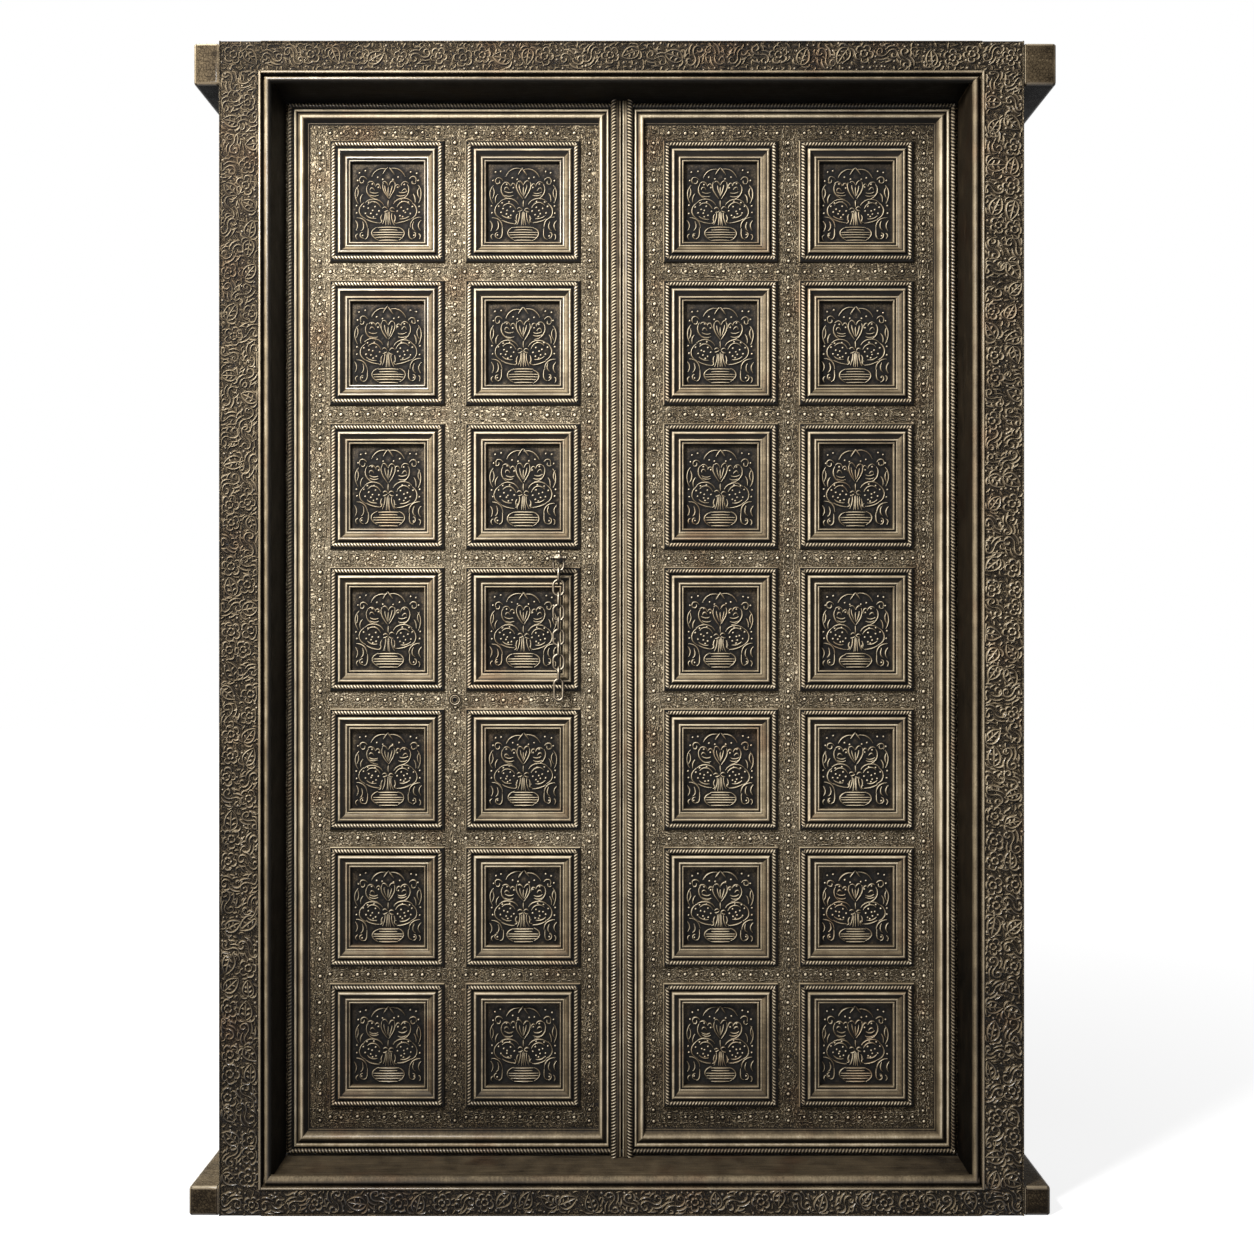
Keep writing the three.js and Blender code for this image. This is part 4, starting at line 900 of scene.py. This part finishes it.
def opening_bead():
    """The rounded bead round the opening, mitred with the tread's nosing."""
    nodes = ("bead_left", "bead_right", "bead_head_left", "sill_tread")
    left, right, head, nosing = (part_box(n) for n in nodes)
    share, rise, crest = np.array(BEAD).T
    x0 = left[0].x + share * (left[1].x - left[0].x)
    x1 = right[1].x - share * (right[1].x - right[0].x)
    z0 = nosing[0].z + share * (nosing[1].z - nosing[0].z)
    z1 = head[1].z - share * (head[1].z - head[0].z)
    x, z = np.stack([x0, x1, x1, x0], -1), np.stack([z0, z0, z1, z1], -1)
    shape = Shape()
    rectangles(shape, x, z, rise * MM, crest, span("left_post", 1)[0] - 1.9 * MM)
    shape.piece("opening_bead", "frame", "bead", "moulding_wood",
                ["bead_left", "bead_right", "bead_head_left", "bead_head_right"])


def timber(shape, low, high, radius):
    """A timber along X: a rectangle with rounded arrises that are worn lighter, and ends eased the same way.
    An arris has four points at a turn t, radius (1 - ease) (cos t, sin t) from its own middle."""
    arris = np.linspace(0, math.pi / 2, 4)
    middles = [(high[1] - radius, high[2] - radius), (low[1] + radius, high[2] - radius),
               (low[1] + radius, low[2] + radius), (high[1] - radius, low[2] + radius)]
    turn = np.concatenate([arris + quarter * math.pi / 2 for quarter in range(4)])
    loop = np.stack([np.cos(turn), np.sin(turn)], -1)
    middle = np.repeat(middles, 4, 0)
    places = []
    for inset, ease in ((0.0, 0.35), (0.35, 0.1), (1.0, 0.0)):
        places.append((inset * radius, middle + loop * radius * (1 - ease)))
    ends = [(low[0] + inset, ring) for inset, ring in places]
    ends += [(high[0] - inset, ring) for inset, ring in reversed(places)]
    points = np.stack([np.column_stack([np.full(16, x), ring]) for x, ring in ends])
    crest = np.tile([0.1, 0.9, 0.9, 0.1], (6, 4))
    crest[[1, 4]] = 0.8
    crest[[0, 5]] = 0.2
    fan = np.array([[0, k, k + 1, k + 2] for k in range(1, 14, 2)])
    last = 5 * 16
    shape.add(points, np.concatenate([grid_faces(6, 16, False, True), fan[:, ::-1], fan + last]), crest)


def horns():
    """The ends of the lintel and sill beside the facings, a hair over the plain solids."""
    hair = 0.25 * MM
    inner = span("facing_right", 0)[1] + 0.2 * MM
    front = FRONT + 2 * MM - hair
    for node, top in (("lintel", 4 * MM), ("sill", 0)):
        low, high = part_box(node)
        z0, z1 = low.z - (hair if top else 0), high.z - top + hair
        for side, x0, x1 in (("left", low.x - hair, -inner), ("right", inner, high.x + hair)):
            shape = Shape()
            timber(shape, (x0, front, z0), (x1, high.y + hair, z1), 7 * MM)
            shape.piece(f"{side}_{node}_horn", "frame", "horn", "frame_timber")


# ---- ironwork ----

# Turned profiles: the place along the axis, the radius and the crest.
# The eyelet's last ring closes in a flat floor of crest -1.2, painted black as the shade inside the keyhole.
EYELET = [
    (-0.5, 14.5, -1), (4.6, 14.5, -1), (5.5, 14, 0.2), (5.5, 13.2, 0.2), (4.5, 12.4, -1), (4.5, 11.4, -1),
    (6.6, 10.8, -0.5), (7.4, 10, 0.8), (7.2, 9, 0.6), (5.8, 8.2, -1), (5.8, 7.4, -1), (6.8, 6.6, 0),
    (7, 5.6, 0.4), (6.2, 4.7, -0.8), (4.5, 4.4, -1.2),
]
COLLAR = [(-13, 2.7, -0.6), (0.1, 2.7, -0.6), (0.1, 9, -0.6), (2, 9, -0.2), (3.4, 7, 0), (4, 4.4, -0.4)]
HALF_BAR = [
    (0, 5.6, 0), (3, 5.4, 0), (6, 4.4, 0), (8.4, 3.2, 0), (9.6, 3.0, 0), (10.6, 4.4, 0), (11.4, 4.6, 0),
    (12.4, 3.0, 0), (13.2, 2.8, 0), (14.4, 4.2, 0), (16, 4.6, 0), (17.4, 3.6, 0), (18.2, 1.8, 0),
    (18.5, 0.6, 0),
]
FINIAL = [
    (0, 4.6, 0), (5, 4.4, 0), (7, 2.4, -0.2), (8.4, 2.0, -0.2), (9.4, 3.2, 0), (11.4, 3.9, 0),
    (13.6, 3.2, 0), (15, 1.5, 0), (15.5, 0.6, 0),
]


def lathe(shape, centre, axis, profile, sides=20):
    """A turned part about an axis: each step of the profile is a ring. Along y the place is a rise towards
    the front."""
    steps = np.asarray(profile, float)
    along, radius = steps[:, 0, None] * MM, steps[:, 1, None] * MM
    angle = np.linspace(0, 2 * math.pi, sides, endpoint=False)
    first, second, sign = ((1, 2, 1), (0, 2, -1), (0, 1, 1))[axis]
    points = np.empty((len(steps), sides, 3))
    points[..., axis] = sign * along
    points[..., first], points[..., second] = radius * np.cos(angle), radius * np.sin(angle)
    fan = np.array([[0, k + 2, k + 1, k] for k in range(1, sides - 2, 2)])
    last = sides * (len(steps) - 1)
    faces = np.concatenate([grid_faces(len(steps), sides, False, True), fan, (fan + last)[:, ::-1]])
    shape.add(points + np.array(centre), faces, steps[:, 2, None])


def eyelet():
    """A turned iron ring with a smaller one inside it, round a keyhole whose flat floor is painted dark as
    the hole's shade.
    """
    low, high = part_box("lock_eyelet")
    shape = Shape()
    lathe(shape, ((low.x + high.x) / 2, LEAF_FRONT, (low.z + high.z) / 2), 1, EYELET, 28)
    shape.piece("lock_eyelet_turned", "left_leaf", "rubbed_iron", "iron", ["lock_eyelet"], sharp=50)


def staple():
    """The chain's staple: a pin with a collar, a turned bar across its head and a finial on top."""
    low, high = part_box("chain_staple")
    x, y, z = (low.x + high.x) / 2, low.y + 4.5 * MM, low.z + 4.5 * MM
    shape = Shape()
    lathe(shape, (x, LEAF_FRONT, z), 1, [*COLLAR, (5, 2.7, -0.3), ((LEAF_FRONT - y) / MM, 2.7, 0)])
    other_half = [(-place, radius, crest) for place, radius, crest in HALF_BAR[:0:-1]]
    lathe(shape, (x, y, z), 0, other_half + HALF_BAR)
    lathe(shape, (x + 2 * MM, y, z), 2, FINIAL)
    shape.piece("chain_staple_turned", "left_leaf", "iron", "iron", ["chain_staple"], sharp=50)


def chain():
    """Forged links: a round wire carried along each link's loop, two half circles and two straights."""
    for number in range(1, 12):
        name = f"chain_link_{number}"
        low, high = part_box(name)
        middle = (low + high) / 2
        face_on = high.x - low.x > high.y - low.y
        wire = min(high.x - low.x, high.y - low.y) / 2
        width = max(high.x - low.x, high.y - low.y) / 2 - wire
        straight = (high.z - low.z) / 2 - wire - width
        t = np.linspace(0, 2 * math.pi, 40, endpoint=False)
        across, up = width * np.cos(t), width * np.sin(t) + straight * np.sign(np.sin(t))
        out = np.stack([np.cos(t), np.sin(t)], -1)
        a = -np.linspace(0, 2 * math.pi, 12, endpoint=False)[None]
        flat = across[:, None] + wire * out[:, :1] * np.cos(a)
        rise = up[:, None] + wire * out[:, 1:] * np.cos(a)
        deep = np.broadcast_to(wire * np.sin(a), flat.shape)
        x, y = (flat, -deep) if face_on else (deep, flat)
        points = np.stack([middle.x + x, middle.y + y, middle.z + rise], -1)
        shape = Shape()
        shape.grid(points, 0.0, True, True)
        shape.piece(f"{name}_forged", name, "iron", "iron", [name], sharp=80)


# ---- finishes of the plain solids, the floor and the light ----

def dress_solids():
    """The better finish of every plain solid."""
    for name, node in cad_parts.items():
        if any(part in name for part in ("rail", "stile", "muntin")):
            finish = "band"
        elif name == "sill_tread":
            finish = "tread"
        elif name in ("lintel", "sill"):
            finish = "timber_level"
        elif "bead_head" in name:
            finish = "moulding_level"
        elif "bead" in name or "astragal" in name:
            finish = "moulding_upright"
        elif name in ("chain_staple", "lock_eyelet"):
            finish = "iron"
        else:
            finish = "timber_upright"
        for slot in node.material_slots:
            slot.material = FINISHES[finish]


FLOOR_REACH = 14


def make_floor():
    """A pale floor that shows white to the camera and keeps the door's shadow."""
    f = Finish("pale_floor")
    f.tree.nodes.remove(f.shader)
    far = f.node("VectorMath", {"operation": "LENGTH"}, {0: f.place}, "Value").between(1.2, 4.5)
    matt = f.node("BsdfDiffuse", {}, {"Color": (0.7, 0.7, 0.7, 1)})
    glow = f.node("Emission", {}, {"Color": (1, 1, 1, 1), "Strength": f.seen(0.0, 1.0) * (0.8 + far * 0.2)})
    f.feed(f.tree.nodes["Material Output"].inputs["Surface"], f.node("AddShader", {}, {0: matt, 1: glow}))
    mesh = bpy.data.meshes.new("floor")
    level = solid_bounds[0].z - 0.5 * MM
    corners = [(x * FLOOR_REACH, y * FLOOR_REACH, level) for x, y in ((-1, -1), (1, -1), (1, 1), (-1, 1))]
    mesh.from_pydata(corners, [], [(0, 1, 2, 3)])
    mesh.materials.append(f.material)
    floor = bpy.data.objects.new("floor", mesh)
    scene.collection.objects.link(floor)


def make_world():
    """An even grey light all round that shows white behind the door."""
    world = bpy.data.worlds.new("studio")
    world.use_nodes = True
    scene.world = world
    light = Nodes(world.node_tree)
    back = light.tree.nodes["Background"]
    light.feed(back.inputs["Strength"], light.seen(0.13, 1.0))
    light.feed(back.inputs["Color"], (1, 1, 1, 1))


def add_lamp(name, place, aim, size, power):
    """A round area lamp at a place, turned to another."""
    data = bpy.data.lights.new(name, "AREA")
    data.shape, data.size, data.energy = "DISK", size, power
    lamp = bpy.data.objects.new(name, data)
    lamp.location = place
    lamp.rotation_euler = (Vector(aim) - Vector(place)).to_track_quat("-Z", "Y").to_euler()
    scene.collection.objects.link(lamp)


make_camera()
dress_solids()
for side in ("left", "right"):
    coffers(side)
    bands(side)
    borders(side)
    astragals(side)
for name, seed in FACING_SEEDS.items():
    facing(name, seed)
opening_bead()
horns()
eyelet()
staple()
chain()
make_floor()
make_world()
add_lamp("key", (-0.9, -1.7, 2.5), (0, 0, 1.4), 0.5, 92)
add_lamp("fill", (1.0, -3.2, 0.9), (0, 0, 1.1), 2.5, 14)

scene.view_settings.view_transform = "Standard"
